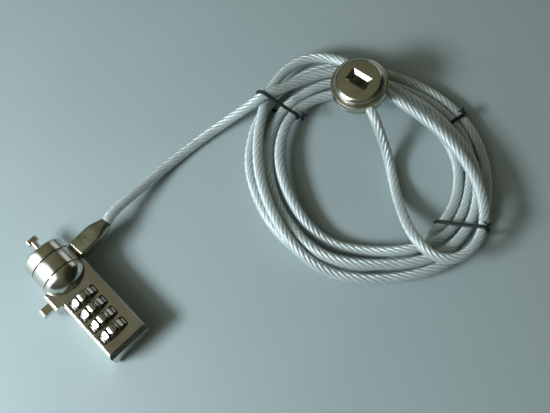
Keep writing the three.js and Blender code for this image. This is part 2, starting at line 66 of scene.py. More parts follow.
# ---------------------------------------------------------- cable centreline
# The cable's centreline from the ferrule, along the lead, round the coil's turns, over the
# bundle and into the anchor disc, in millimetres.
ROUTE = (
    "27.85,27.26,10.30;30.19,28.15,10.14;32.59,28.82,9.92;35.02,29.28,9.58;37.47,29.58,9.16;"
    "39.92,29.79,8.67;42.36,29.96,8.12;44.79,30.11,7.54;47.22,30.26,6.95;49.65,30.42,6.37;"
    "52.09,30.57,5.81;54.53,30.72,5.29;56.99,30.85,4.80;59.45,30.97,4.35;61.92,31.06,3.94;"
    "64.40,31.12,3.57;66.88,31.15,3.25;69.38,31.14,2.98;71.87,31.10,2.77;74.38,31.02,2.62;"
    "76.88,30.91,2.53;79.38,30.75,2.50;81.88,30.55,2.53;84.38,30.31,2.62;86.87,30.02,2.80;"
    "89.34,29.68,3.06;91.79,29.28,3.43;94.22,28.83,3.90;96.61,28.32,4.49;98.96,27.76,5.17;"
    "101.27,27.16,5.95;103.55,26.53,6.82;105.79,25.88,7.77;108.01,25.23,8.77;110.21,24.59,9.82;"
    "112.41,23.96,10.87;114.64,23.32,11.87;116.93,22.65,12.69;119.32,21.91,13.07;121.71,21.13,12.89;"
    "124.07,20.37,12.44;126.42,19.65,11.87;128.78,19.00,11.25;131.15,18.38,10.65;133.53,17.79,10.09;"
    "135.92,17.17,9.59;138.31,16.49,9.16;140.68,15.74,8.79;143.04,14.90,8.48;145.35,13.95,8.19;"
    "147.60,12.88,7.88;149.78,11.67,7.53;151.88,10.33,7.14;153.89,8.87,6.74;155.82,7.29,6.44;"
    "157.67,5.58,6.46;159.32,3.69,6.75;160.66,1.60,7.24;161.67,-0.67,7.74;162.42,-3.05,8.15;"
    "162.97,-5.52,8.26;163.42,-8.00,8.26;163.86,-10.48,8.21;164.34,-12.96,8.17;164.88,-15.42,8.15;"
    "165.48,-17.86,8.14;166.12,-20.30,8.14;166.77,-22.73,8.13;167.38,-25.17,8.13;167.91,-27.62,8.13;"
    "168.33,-30.10,8.12;168.64,-32.59,8.12;168.81,-35.09,8.11;168.87,-37.60,8.11;168.84,-40.11,8.11;"
    "168.71,-42.61,8.11;168.50,-45.11,8.11;168.22,-47.60,8.11;167.86,-50.09,8.11;167.42,-52.55,8.12;"
    "166.89,-55.00,8.13;166.26,-57.43,8.15;165.52,-59.82,8.18;164.64,-62.17,8.22;163.62,-64.46,8.26;"
    "162.45,-66.67,8.27;161.11,-68.78,8.25;159.60,-70.78,8.21;157.95,-72.66,8.17;156.17,-74.42,8.13;"
    "154.27,-76.05,8.09;152.27,-77.55,8.05;150.19,-78.94,8.00;148.02,-80.18,7.95;145.77,-81.29,7.89;"
    "143.45,-82.23,7.84;141.07,-83.00,7.81;138.64,-83.59,7.78;136.17,-83.99,7.77;133.68,-84.22,7.77;"
    "131.18,-84.27,7.79;128.68,-84.13,7.83;126.20,-83.81,7.89;123.75,-83.31,7.97;121.34,-82.64,8.06;"
    "118.99,-81.80,8.14;116.69,-80.80,8.19;114.47,-79.67,8.22;112.31,-78.40,8.22;110.21,-77.03,8.22;"
    "108.19,-75.56,8.22;106.22,-74.02,8.21;104.30,-72.41,8.21;102.43,-70.75,8.22;100.59,-69.05,8.23;"
    "98.80,-67.31,8.25;97.05,-65.52,8.28;95.34,-63.69,8.30;93.69,-61.81,8.32;92.11,-59.87,8.31;"
    "90.61,-57.87,8.29;89.20,-55.81,8.26;87.90,-53.67,8.22;86.75,-51.45,8.15;85.79,-49.15,8.05;"
    "85.04,-46.77,7.90;84.51,-44.34,7.69;84.20,-41.88,7.44;84.09,-39.40,7.16;84.11,-36.92,6.86;"
    "84.25,-34.44,6.55;84.50,-31.98,6.21;84.84,-29.52,5.85;85.28,-27.09,5.49;85.83,-24.68,5.14;"
    "86.50,-22.29,4.80;87.27,-19.94,4.49;88.16,-17.61,4.23;89.14,-15.33,4.00;90.23,-13.08,3.82;"
    "91.42,-10.89,3.67;92.70,-8.74,3.55;94.08,-6.66,3.47;95.54,-4.63,3.40;97.09,-2.67,3.36;"
    "98.70,-0.76,3.33;100.39,1.09,3.31;102.15,2.86,3.30;103.98,4.56,3.30;105.90,6.17,3.30;"
    "107.90,7.66,3.30;109.99,9.04,3.30;112.15,10.30,3.30;114.38,11.42,3.31;116.68,12.38,3.34;"
    "119.06,13.14,3.43;121.50,13.66,3.56;123.97,13.93,3.74;126.46,13.97,3.94;128.94,13.81,4.12;"
    "131.41,13.50,4.26;133.87,13.07,4.33;136.31,12.55,4.34;138.73,11.94,4.29;141.12,11.23,4.19;"
    "143.48,10.41,4.06;145.77,9.45,3.90;147.98,8.32,3.73;150.09,7.00,3.56;152.07,5.50,3.41;"
    "153.94,3.86,3.31;155.78,2.18,3.30;157.60,0.49,3.30;159.40,-1.22,3.30;161.17,-2.95,3.30;"
    "162.86,-4.78,3.30;164.39,-6.74,3.30;165.74,-8.82,3.30;166.94,-11.00,3.31;168.06,-13.22,3.35;"
    "169.10,-15.47,3.41;170.06,-17.76,3.50;170.93,-20.09,3.61;171.71,-22.45,3.74;172.38,-24.83,3.86;"
    "172.96,-27.25,3.96;173.44,-29.69,4.04;173.82,-32.15,4.10;174.09,-34.62,4.12;174.26,-37.11,4.12;"
    "174.30,-39.60,4.10;174.22,-42.08,4.05;174.00,-44.57,3.98;173.65,-47.03,3.90;173.13,-49.46,3.82;"
    "172.44,-51.86,3.73;171.58,-54.20,3.65;170.53,-56.45,3.56;169.28,-58.61,3.49;167.83,-60.65,3.42;"
    "166.23,-62.56,3.36;164.49,-64.35,3.32;162.64,-66.04,3.30;160.71,-67.64,3.30;158.73,-69.17,3.30;"
    "156.70,-70.65,3.31;154.63,-72.06,3.31;152.51,-73.39,3.31;150.31,-74.61,3.30;148.06,-75.71,3.30;"
    "145.75,-76.70,3.32;143.39,-77.56,3.38;140.97,-78.24,3.51;138.52,-78.72,3.76;136.05,-79.00,4.15;"
    "133.59,-79.08,4.68;131.16,-78.96,5.32;128.76,-78.64,6.02;126.38,-78.12,6.70;124.03,-77.42,7.29;"
    "121.70,-76.58,7.78;119.40,-75.60,8.12;117.15,-74.46,8.26;115.00,-73.16,8.24;112.93,-71.73,8.06;"
    "110.96,-70.20,7.74;109.09,-68.59,7.29;107.30,-66.90,6.77;105.60,-65.13,6.23;103.95,-63.31,5.70;"
    "102.36,-61.43,5.20;100.80,-59.51,4.77;99.29,-57.54,4.40;97.82,-55.53,4.11;96.42,-53.46,3.90;"
    "95.11,-51.33,3.77;93.93,-49.12,3.70;92.92,-46.83,3.69;92.10,-44.46,3.74;91.51,-42.03,3.83;"
    "91.15,-39.55,3.96;91.00,-37.06,4.12;91.04,-34.56,4.31;91.25,-32.08,4.51;91.59,-29.60,4.72;"
    "92.05,-27.15,4.94;92.61,-24.72,5.17;93.26,-22.31,5.39;94.01,-19.93,5.62;94.85,-17.59,5.84;"
    "95.79,-15.27,6.05;96.83,-13.01,6.24;97.98,-10.79,6.42;99.25,-8.64,6.56;100.64,-6.56,6.67;"
    "102.16,-4.56,6.74;103.79,-2.67,6.79;105.53,-0.88,6.82;107.40,0.80,6.84;109.37,2.34,6.85;"
    "111.44,3.73,6.86;113.61,4.98,6.85;115.87,6.06,6.81;118.20,6.97,6.73;120.59,7.68,6.58;"
    "123.03,8.18,6.35;125.49,8.46,6.05;127.97,8.52,5.67;130.43,8.37,5.25;132.87,8.04,4.81;"
    "135.28,7.53,4.40;137.65,6.83,4.04;139.98,5.94,3.75;142.23,4.88,3.54;144.41,3.66,3.41;"
    "146.50,2.29,3.34;148.51,0.80,3.31;150.43,-0.81,3.30;152.25,-2.52,3.30;154.00,-4.31,3.30;"
    "155.65,-6.19,3.30;157.23,-8.13,3.30;158.71,-10.15,3.30;160.11,-12.22,3.30;161.41,-14.36,3.30;"
    "162.58,-16.57,3.30;163.63,-18.84,3.30;164.53,-21.17,3.30;165.29,-23.56,3.30;165.90,-25.98,3.30;"
    "166.37,-28.44,3.30;166.71,-30.92,3.30;166.92,-33.41,3.30;167.01,-35.91,3.30;166.98,-38.41,3.30;"
    "166.82,-40.91,3.30;166.53,-43.39,3.30;166.12,-45.86,3.30;165.56,-48.29,3.30;164.85,-50.69,3.30;"
    "163.99,-53.04,3.30;162.96,-55.31,3.30;161.76,-57.50,3.30;160.40,-59.59,3.30;158.87,-61.57,3.30;"
    "157.19,-63.42,3.30;155.38,-65.14,3.30;153.46,-66.73,3.30;151.44,-68.18,3.30;149.33,-69.51,3.30;"
    "147.14,-70.71,3.30;144.88,-71.76,3.30;142.55,-72.61,3.30;140.15,-73.29,3.30;137.71,-73.79,3.30;"
    "135.25,-74.12,3.30;132.77,-74.33,3.30;130.28,-74.45,3.30;127.79,-74.53,3.30;125.31,-74.59,3.30;"
    "122.83,-74.62,3.30;120.34,-74.56,3.30;117.87,-74.34,3.30;115.41,-73.93,3.30;113.00,-73.32,3.30;"
    "110.63,-72.52,3.30;108.33,-71.57,3.30;106.09,-70.48,3.30;103.90,-69.28,3.30;101.76,-67.99,3.30;"
    "99.68,-66.62,3.30;97.66,-65.15,3.30;95.71,-63.59,3.30;93.84,-61.94,3.30;92.05,-60.20,3.30;"
    "90.36,-58.36,3.30;88.76,-56.44,3.30;87.25,-54.45,3.30;85.86,-52.39,3.30;84.59,-50.24,3.30;"
    "83.46,-48.01,3.30;82.48,-45.71,3.30;81.65,-43.36,3.30;80.95,-40.96,3.30;80.40,-38.52,3.30;"
    "79.99,-36.06,3.30;79.72,-33.57,3.30;79.60,-31.07,3.30;79.61,-28.57,3.30;79.77,-26.08,3.30;"
    "80.05,-23.60,3.30;80.47,-21.13,3.30;81.00,-18.69,3.30;81.63,-16.27,3.30;82.37,-13.88,3.30;"
    "83.20,-11.52,3.30;84.11,-9.19,3.30;85.10,-6.89,3.30;86.17,-4.63,3.30;87.33,-2.42,3.30;"
    "88.59,-0.26,3.30;89.96,1.83,3.30;91.45,3.84,3.30;93.06,5.74,3.30;94.79,7.55,3.30;96.61,9.27,3.30;"
    "98.51,10.89,3.30;100.49,12.41,3.30;102.53,13.85,3.30;104.64,15.19,3.30;106.82,16.41,3.30;"
    "109.06,17.50,3.30;111.37,18.45,3.30;113.75,19.21,3.30;116.17,19.81,3.30;118.62,20.29,3.30;"
    "121.08,20.74,3.30;123.55,21.13,3.31;126.04,21.40,3.33;128.54,21.52,3.33;131.04,21.49,3.33;"
    "133.54,21.33,3.32;136.03,21.05,3.31;138.50,20.65,3.30;140.95,20.12,3.30;143.36,19.46,3.30;"
    "145.73,18.66,3.30;148.04,17.69,3.30;150.27,16.55,3.30;152.41,15.26,3.30;154.45,13.81,3.30;"
    "156.40,12.23,3.30;158.24,10.53,3.30;159.97,8.72,3.30;161.58,6.81,3.30;163.10,4.81,3.30;"
    "164.52,2.75,3.30;165.89,0.64,3.30;167.20,-1.49,3.30;168.49,-3.64,3.30;169.76,-5.81,3.30;"
    "170.97,-8.01,3.30;172.11,-10.25,3.30;173.16,-12.53,3.30;174.14,-14.84,3.30;175.05,-17.19,3.30;"
    "175.91,-19.55,3.30;176.68,-21.94,3.30;177.35,-24.37,3.30;177.92,-26.82,3.30;178.39,-29.29,3.30;"
    "178.76,-31.77,3.30;179.03,-34.27,3.30;179.20,-36.78,3.30;179.25,-39.29,3.30;179.17,-41.80,3.30;"
    "178.97,-44.31,3.30;178.63,-46.80,3.30;178.16,-49.27,3.30;177.59,-51.71,3.30;176.90,-54.13,3.30;"
    "176.05,-56.49,3.30;175.07,-58.80,3.30;173.98,-61.06,3.30;172.78,-63.26,3.30;171.48,-65.41,3.30;"
    "170.08,-67.48,3.30;168.58,-69.49,3.30;166.99,-71.44,3.30;165.33,-73.31,3.30;163.58,-75.11,3.30;"
    "161.76,-76.83,3.30;159.86,-78.46,3.30;157.88,-80.00,3.30;155.84,-81.45,3.30;153.73,-82.80,3.30;"
    "151.56,-84.06,3.30;149.34,-85.20,3.30;147.06,-86.23,3.30;144.72,-87.13,3.30;142.33,-87.89,3.31;"
    "139.90,-88.48,3.35;137.43,-88.89,3.43;134.94,-89.13,3.56;132.45,-89.19,3.75;129.96,-89.08,3.99;"
    "127.49,-88.79,4.26;125.04,-88.36,4.54;122.62,-87.78,4.78;120.22,-87.07,4.98;117.87,-86.23,5.11;"
    "115.55,-85.29,5.19;113.27,-84.25,5.23;111.04,-83.10,5.23;108.86,-81.87,5.23;106.73,-80.56,5.22;"
    "104.64,-79.17,5.21;102.60,-77.72,5.20;100.61,-76.20,5.20;98.66,-74.63,5.20;96.76,-73.00,5.20;"
    "94.90,-71.31,5.20;93.10,-69.57,5.19;91.36,-67.77,5.19;89.68,-65.91,5.21;88.07,-63.98,5.24;"
    "86.56,-61.99,5.31;85.14,-59.92,5.43;83.85,-57.78,5.61;82.70,-55.57,5.87;81.70,-53.29,6.21;"
    "80.85,-50.96,6.61;80.18,-48.59,7.05;79.69,-46.16,7.44;79.38,-43.69,7.77;79.23,-41.20,8.01;"
    "79.22,-38.69,8.18;79.35,-36.19,8.28;79.62,-33.69,8.32;80.00,-31.21,8.30;80.49,-28.75,8.24;"
    "81.07,-26.31,8.14;81.73,-23.90,8.04;82.48,-21.50,7.95;83.29,-19.13,7.89;84.17,-16.78,7.86;"
    "85.12,-14.46,7.84;86.13,-12.17,7.83;87.21,-9.91,7.82;88.37,-7.68,7.82;89.60,-5.50,7.82;"
    "90.92,-3.37,7.82;92.33,-1.29,7.82;93.82,0.72,7.83;95.39,2.68,7.83;97.04,4.57,7.84;98.75,6.40,7.85;"
    "100.53,8.17,7.86;102.37,9.87,7.86;104.26,11.52,7.86;106.21,13.10,7.88;108.20,14.62,7.92;"
    "110.24,16.09,8.01;112.30,17.51,8.14;114.39,18.90,8.26;116.51,20.25,8.28;118.67,21.53,8.12;"
    "120.88,22.68,7.92;123.16,23.68,7.67;125.51,24.53,7.48;127.91,25.23,7.37;130.36,25.76,7.36;"
    "132.84,26.11,7.42;135.33,26.27,7.51;137.84,26.22,7.62;140.32,25.95,7.73;142.77,25.44,7.82;"
    "145.15,24.66,7.90;147.41,23.59,7.97;149.50,22.22,8.06;151.38,20.56,8.19;153.01,18.68,8.40;"
    "154.39,16.61,8.72;155.53,14.42,9.20;156.44,12.17,9.83;157.14,9.86,10.54;157.59,7.45,11.13;"
    "157.83,4.95,11.43;157.96,2.44,11.42;158.11,-0.06,11.23;158.33,-2.54,11.00;158.59,-5.03,10.87;"
    "158.83,-7.53,10.90;159.03,-10.02,11.09;159.20,-12.50,11.39;159.34,-14.97,11.76;159.48,-17.44,12.14;"
    "159.64,-19.91,12.50;159.84,-22.39,12.79;160.09,-24.87,13.01;160.39,-27.36,13.13;160.71,-29.84,13.18;"
    "161.04,-32.32,13.18;161.34,-34.80,13.16;161.59,-37.29,13.13;161.76,-39.79,13.12;161.85,-42.29,13.10;"
    "161.84,-44.79,13.10;161.75,-47.30,13.10;161.56,-49.79,13.10;161.28,-52.28,13.10;160.92,-54.76,13.10;"
    "160.48,-57.22,13.10;159.96,-59.67,13.10;159.36,-62.10,13.10;158.67,-64.51,13.10;157.89,-66.88,13.10;"
    "157.01,-69.23,13.10;156.03,-71.53,13.10;154.94,-73.78,13.10;153.73,-75.98,13.11;152.40,-78.10,13.11;"
    "150.94,-80.13,13.11;149.34,-82.06,13.11;147.61,-83.87,13.10;145.74,-85.53,13.09;143.73,-87.02,13.07;"
    "141.59,-88.31,13.04;139.33,-89.38,13.00;136.96,-90.19,12.97;134.52,-90.73,12.94;132.03,-90.97,12.93;"
    "129.53,-90.88,12.95;127.07,-90.44,12.99;124.72,-89.62,13.07;122.53,-88.41,13.17;120.62,-86.82,13.28;"
    "119.05,-84.88,13.40;117.90,-82.67,13.51;117.18,-80.28,13.57;116.89,-77.80,13.54;116.96,-75.31,13.37;"
    "117.34,-72.87,13.01;117.96,-70.53,12.38;118.77,-68.30,11.58;119.73,-66.18,10.67;120.80,-64.12,9.72;"
    "121.96,-62.12,8.75;123.18,-60.16,7.79;124.46,-58.22,6.86;125.78,-56.29,5.98;127.15,-54.36,5.15;"
    "128.55,-52.43,4.40;129.99,-50.49,3.75;131.45,-48.53,3.22;132.92,-46.54,2.87;134.37,-44.51,2.74;"
    "135.78,-42.46,2.88;137.10,-40.39,3.35;138.29,-38.35,4.15;139.31,-36.37,5.28;140.14,-34.48,6.68;"
    "140.80,-32.68,8.28;141.30,-30.96,10.01;141.70,-29.27,11.81;142.10,-27.55,13.58;142.57,-25.74,15.23;"
    "143.19,-23.78,16.64;143.98,-21.65,17.65;144.90,-19.38,18.10;145.89,-17.09,17.86;146.88,-14.80,17.75;"
)
route = np.array([[float(c) for c in p.split(",")] for p in ROUTE.split(";") if p])
CABLE_D = 5.0


def resample(points, step):
    """Points at even steps on a Catmull-Rom curve through the given ones."""
    p = np.vstack([2 * points[0] - points[1], points, 2 * points[-1] - points[-2]])
    out = []
    t = np.linspace(0, 1, 9)[:-1][:, None]
    for i in range(1, len(p) - 2):
        a, b, c, d = p[i - 1], p[i], p[i + 1], p[i + 2]
        out.append(0.5 * (2 * b + (c - a) * t + (2 * a - 5 * b + 4 * c - d) * t**2 + (3 * b - a - 3 * c + d) * t**3))
    q = np.vstack(out + [points[-1][None]])
    s = np.r_[0, np.cumsum(np.linalg.norm(np.diff(q, axis=0), axis=1))]
    n = max(2, int(round(s[-1] / step)))
    u = np.linspace(0, s[-1], n + 1)
    return np.stack([np.interp(u, s, q[:, k]) for k in range(3)], 1), u


def frames(points):
    """Tangents and two turning-free normals along points."""
    t = np.gradient(points, axis=0)
    t /= np.linalg.norm(t, axis=1)[:, None]
    n = np.zeros_like(points)
    ref = np.array([0.0, 0.0, 1.0])
    v = ref - t[0] * (ref @ t[0])
    n[0] = v / np.linalg.norm(v)
    for i in range(1, len(points)):
        v = n[i - 1] - t[i] * (n[i - 1] @ t[i])
        n[i] = v / np.linalg.norm(v)
    return t, n, np.cross(t, n)


def tube_arrays(points, e1, e2, ru, rv, sides, s, closed_ends=True):
    """Vertices, faces and uvs of a swept tube."""
    m = len(points)
    a = np.linspace(0, 2 * math.pi, sides, endpoint=False)
    v = points[:, None, :] + e1[:, None, :] * (ru * np.cos(a))[None, :, None] + e2[:, None, :] * (rv * np.sin(a))[None, :, None]
    verts = v.reshape(-1, 3)
    i = np.arange(m - 1)[:, None] * sides
    j = np.arange(sides)[None, :]
    k = (j + 1) % sides
    quads = np.stack([i + j, i + k, i + sides + k, i + sides + j], -1).reshape(-1, 4)
    uu = np.stack([np.broadcast_to(j / sides, (m - 1, sides)), np.broadcast_to((j + 1) / sides, (m - 1, sides))], -1)
    s0 = np.broadcast_to(s[:-1, None], (m - 1, sides))
    s1 = np.broadcast_to(s[1:, None], (m - 1, sides))
    uv = np.stack([
        np.stack([uu[..., 0], s0], -1), np.stack([uu[..., 1], s0], -1),
        np.stack([uu[..., 1], s1], -1), np.stack([uu[..., 0], s1], -1)], 2).reshape(-1, 4, 2)
    return verts, quads, uv


def mesh_object(name, parts, materials, smooth=True):
    """One mesh from [(verts_mm, faces, uvs, material index, end caps sides or None)]."""
    verts, faces, uvs, mats = [], [], [], []
    base = 0
    for v, f, uv, mi, sides in parts:
        verts.append(v)
        for q, w in zip(f, uv):
            faces.append([int(x) + base for x in q])
            uvs.append(w)
            mats.append(mi)
        if sides:
            n = len(v)
            faces.append([base + x for x in reversed(range(sides))])
            uvs.append(np.zeros((sides, 2)))
            mats.append(mi)
            faces.append([base + n - sides + x for x in range(sides)])
            uvs.append(np.zeros((sides, 2)))
            mats.append(mi)
        base += len(v)
    me = bpy.data.meshes.new(name)
    me.from_pydata((np.vstack(verts) * MM).tolist(), [], faces)
    layer = me.uv_layers.new(name="UVMap")
    flat = np.concatenate([np.asarray(w, float).reshape(-1) for w in uvs])
    layer.data.foreach_set("uv", flat)
    me.polygons.foreach_set("material_index", np.array(mats, np.int32))
    me.polygons.foreach_set("use_smooth", np.full(len(faces), smooth))
    for m in materials:
        me.materials.append(m)
    me.update()
    o = bpy.data.objects.new(name, me)
    scene.collection.objects.link(o)
    return o


# ---------------------------------------------------------------- materials
def new_material(name):
    m = bpy.data.materials.new(name)
    m.use_nodes = True
    nt = m.node_tree
    for n in list(nt.nodes):
        nt.nodes.remove(n)
    out = nt.nodes.new("ShaderNodeOutputMaterial")
    b = nt.nodes.new("ShaderNodeBsdfPrincipled")
    nt.links.new(b.outputs["BSDF"], out.inputs["Surface"])
    return m, nt, b


def node(nt, kind, **values):
    n = nt.nodes.new(kind)
    for k, v in values.items():
        if k in n.inputs.keys():
            n.inputs[k].default_value = v
        else:
            setattr(n, k, v)
    return n


def ramp(nt, src, stops):
    r = nt.nodes.new("ShaderNodeValToRGB")
    e = r.color_ramp.elements
    while len(e) > 1:
        e.remove(e[-1])
    e[0].position, e[0].color = stops[0][0], (*stops[0][1], 1)
    for p, c in stops[1:]:
        x = e.new(p)
        x.color = (*c, 1)
    nt.links.new(src, r.inputs["Fac"])
    return r.outputs["Color"]


def grey(v):
    return (v, v, v)


def metal(name, color, rough, scratch=0.25, wear=0.12, lathe=None, bump=0.05):
    """Polished plated metal: slight cloudiness, fine scratches, and lathe lines if asked."""
    m, nt, b = new_material(name)
    b.inputs["Metallic"].default_value = 1.0
    tc = nt.nodes.new("ShaderNodeTexCoord")
    cloud = node(nt, "ShaderNodeTexNoise", Scale=160.0, Detail=4.0, Roughness=0.6)
    nt.links.new(tc.outputs["Object"], cloud.inputs["Vector"])
    fine = node(nt, "ShaderNodeTexNoise", Scale=2600.0, Detail=3.0, Roughness=0.7)
    nt.links.new(tc.outputs["Object"], fine.inputs["Vector"])
    lo = tuple(c * (1 - wear) for c in color)
    hi = tuple(min(1.0, c * (1 + wear * 0.6)) for c in color)
    nt.links.new(ramp(nt, cloud.outputs["Fac"], [(0.32, lo), (0.68, hi)]), b.inputs["Base Color"])
    add = node(nt, "ShaderNodeMath", operation="ADD")
    nt.links.new(cloud.outputs["Fac"], add.inputs[0])
    nt.links.new(fine.outputs["Fac"], add.inputs[1])
    nt.links.new(
        ramp(nt, add.outputs[0], [(0.35, grey(rough * (1 - scratch))), (1.0, grey(min(1.0, rough * (1 + scratch * 2))))]),
        b.inputs["Roughness"])
    height = fine.outputs["Fac"]
    if lathe:
        # circles round an axis: distance from the axis drives thin rings
        mp = nt.nodes.new("ShaderNodeMapping")
        nt.links.new(tc.outputs["Object"], mp.inputs["Vector"])
        mp.inputs["Location"].default_value = lathe[0]
        mp.inputs["Rotation"].default_value = lathe[1]
        mp.vector_type = "POINT"
        w = node(nt, "ShaderNodeTexWave", wave_type=lathe[2], bands_direction=lathe[3], Scale=lathe[4], Distortion=0.6, Detail=2.0)
        nt.links.new(mp.outputs["Vector"], w.inputs["Vector"])
        mix = node(nt, "ShaderNodeMath", operation="ADD")
        nt.links.new(w.outputs["Fac"], mix.inputs[0])
        nt.links.new(fine.outputs["Fac"], mix.inputs[1])
        height = mix.outputs[0]
    bp = node(nt, "ShaderNodeBump", Strength=bump, Distance=0.00002)
    nt.links.new(height, bp.inputs["Height"])
    nt.links.new(bp.outputs["Normal"], b.inputs["Normal"])
    return m


def make_strand_material():
    m, nt, b = new_material("steel_strands")
    b.inputs["Metallic"].default_value = 0.55
    tc = nt.nodes.new("ShaderNodeTexCoord")
    sep = nt.nodes.new("ShaderNodeSeparateXYZ")
    nt.links.new(tc.outputs["UV"], sep.inputs[0])
    # six wires round each strand, running nearly along the cable; the base colour is painted shade in the gaps between
    # the wires and a painted highlight on their crowns, with random tone from the noise
    s = node(nt, "ShaderNodeMath", operation="MULTIPLY")
    s.inputs[1].default_value = -6.0 / 7.8
    nt.links.new(sep.outputs["Y"], s.inputs[0])
    v = node(nt, "ShaderNodeMath", operation="MULTIPLY")
    v.inputs[1].default_value = 6.0
    nt.links.new(sep.outputs["X"], v.inputs[0])
    add = node(nt, "ShaderNodeMath", operation="ADD")
    nt.links.new(s.outputs[0], add.inputs[0])
    nt.links.new(v.outputs[0], add.inputs[1])
    ph = node(nt, "ShaderNodeMath", operation="MULTIPLY")
    ph.inputs[1].default_value = math.pi
    nt.links.new(add.outputs[0], ph.inputs[0])
    sn = node(nt, "ShaderNodeMath", operation="SINE")
    nt.links.new(ph.outputs[0], sn.inputs[0])
    ab = node(nt, "ShaderNodeMath", operation="ABSOLUTE")
    nt.links.new(sn.outputs[0], ab.inputs[0])
    cloud = node(nt, "ShaderNodeTexNoise", Scale=220.0, Detail=4.0)
    nt.links.new(tc.outputs["Object"], cloud.inputs["Vector"])
    mixv = node(nt, "ShaderNodeMath", operation="MULTIPLY_ADD")
    nt.links.new(cloud.outputs["Fac"], mixv.inputs[0])
    mixv.inputs[1].default_value = 0.35
    nt.links.new(ab.outputs[0], mixv.inputs[2])
    # the ramp paints shade into the wire gaps and a highlight onto the wire crowns
    nt.links.new(
        ramp(nt, mixv.outputs[0], [(0.12, STRAND_GAP_SHADE), (0.5, STRAND_MID), (1.15, STRAND_CROWN_HIGHLIGHT)]), b.inputs["Base Color"])
    nt.links.new(ramp(nt, cloud.outputs["Fac"], [(0.3, grey(0.34)), (0.7, grey(0.48))]), b.inputs["Roughness"])
    bp = node(nt, "ShaderNodeBump", Strength=0.55, Distance=0.00012)
    nt.links.new(ab.outputs[0], bp.inputs["Height"])
    nt.links.new(bp.outputs["Normal"], b.inputs["Normal"])
    return m


def make_sleeve_material():
    m, nt, b = new_material("clear_sleeve")
    tc = nt.nodes.new("ShaderNodeTexCoord")
    haze = node(nt, "ShaderNodeTexNoise", Scale=90.0, Detail=4.0, Roughness=0.6)
    nt.links.new(tc.outputs["Object"], haze.inputs["Vector"])
    nt.links.new(ramp(nt, haze.outputs["Fac"], [(0.3, (0.62, 0.72, 0.72)), (0.7, (0.78, 0.86, 0.85))]), b.inputs["Base Color"])
    nt.links.new(ramp(nt, haze.outputs["Fac"], [(0.3, grey(0.12)), (0.7, grey(0.26))]), b.inputs["Roughness"])
    b.inputs["IOR"].default_value = 1.5
    b.inputs["Alpha"].default_value = 0.22
    fine = node(nt, "ShaderNodeTexNoise", Scale=700.0, Detail=2.0)
    nt.links.new(tc.outputs["Object"], fine.inputs["Vector"])
    bp = node(nt, "ShaderNodeBump", Strength=0.12, Distance=0.00005)
    nt.links.new(fine.outputs["Fac"], bp.inputs["Height"])
    nt.links.new(bp.outputs["Normal"], b.inputs["Normal"])
    return m


# painted shade between the wires, their mid tone, and a painted highlight on the wire crowns
STRAND_GAP_SHADE = (0.155, 0.19, 0.19)
STRAND_MID = (0.47, 0.545, 0.54)
STRAND_CROWN_HIGHLIGHT = (0.72, 0.79, 0.785)

# ------------------------------------------------------------------- cable
STRANDS, LAY, STRAND_R, STRAND_C = 6, 21.0, 0.79, 1.55
path, along = resample(route, 1.05)
tan, nrm, bnr = frames(path)
strand_mat = make_strand_material()
sleeve_mat = make_sleeve_material()
parts = []
for k in range(STRANDS):
    a = 2 * math.pi * k / STRANDS + 2 * math.pi * along / LAY
    radial = nrm * np.cos(a)[:, None] + bnr * np.sin(a)[:, None]
    centre = path + STRAND_C * radial
    st = np.gradient(centre, axis=0)
    st /= np.linalg.norm(st, axis=1)[:, None]
    e1 = radial - st * (radial * st).sum(1)[:, None]
    e1 /= np.linalg.norm(e1, axis=1)[:, None]
    e2 = np.cross(st, e1)
    v, f, uv = tube_arrays(centre, e1, e2, STRAND_R, STRAND_R, 9, along)
    parts.append((v, f, uv, 0, 9))
v, f, uv = tube_arrays(path[::2], nrm[::2], bnr[::2], 0.8, 0.8, 6, along[::2])
parts.append((v, f, uv, 0, 6))
thin, thin_s = resample(route, 2.1)
tt, tn, tb = frames(thin)
v, f, uv = tube_arrays(thin, tn, tb, CABLE_D / 2, CABLE_D / 2, 20, thin_s)
parts.append((v, f, uv, 1, 20))
cable = mesh_object("steel_cable", parts, [strand_mat, sleeve_mat])
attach(cable, "root")
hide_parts("cable_lead", "cable_coil", "cable_tail")
# --------------------------------------------------------- shaping helpers
def shade(o, angle=28.0):
    me = o.data
    me.polygons.foreach_set("use_smooth", np.full(len(me.polygons), True))
    me.set_sharp_from_angle(angle=math.radians(angle))
    me.update()


def put(name, bm, materials, body, slot, *cad, angle=28.0, matrix=None, weighted=False):
    """Turns a bmesh in millimetres into a piece that rides on a body and stands for CAD nodes."""
    bmesh.ops.recalc_face_normals(bm, faces=bm.faces)
    me = bpy.data.meshes.new(name)
    m = Matrix.Scale(MM, 4)
    bm.transform(m @ matrix if matrix is not None else m)
    bm.to_mesh(me)
    bm.free()
    for mat in materials:
        me.materials.append(mat)
    o = bpy.data.objects.new(name, me)
    scene.collection.objects.link(o)
    shade(o, angle)
    if weighted:
        # wide flat faces keep their own normal, and only the broken edges turn
        for f in me.polygons:
            pts = [me.vertices[i].co for i in f.vertices]
            round_ = sum((pts[i] - pts[i - 1]).length for i in range(len(pts)))
            if 2 * f.area / max(round_, 1e-9) > weighted * MM:
                f.use_smooth = False
    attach(o, body)
    if cad:
        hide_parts(*cad)
    return o


def lathe(bm, profile, seg=96, closed=True):
    """Turns (radius, y) points about the barrel axis; a closed profile is a ring."""
    rings = []
    for r, h in profile:
        if r < 1e-6:
            rings.append([bm.verts.new((0, h, AXIS_Z))])
        else:
            rings.append([bm.verts.new((r * math.sin(2 * math.pi * i / seg), h, AXIS_Z + r * math.cos(2 * math.pi * i / seg))) for i in range(seg)])
    pairs = list(zip(rings, rings[1:])) + ([(rings[-1], rings[0])] if closed else [])
    for a, b in pairs:
        for i in range(seg):
            j = (i + 1) % seg
            if len(a) == 1 and len(b) == 1:
                continue
            if len(a) == 1:
                bm.faces.new((a[0], b[i], b[j]))
            elif len(b) == 1:
                bm.faces.new((a[i], a[j], b[0]))
            else:
                bm.faces.new((a[i], a[j], b[j], b[i]))
    return bm


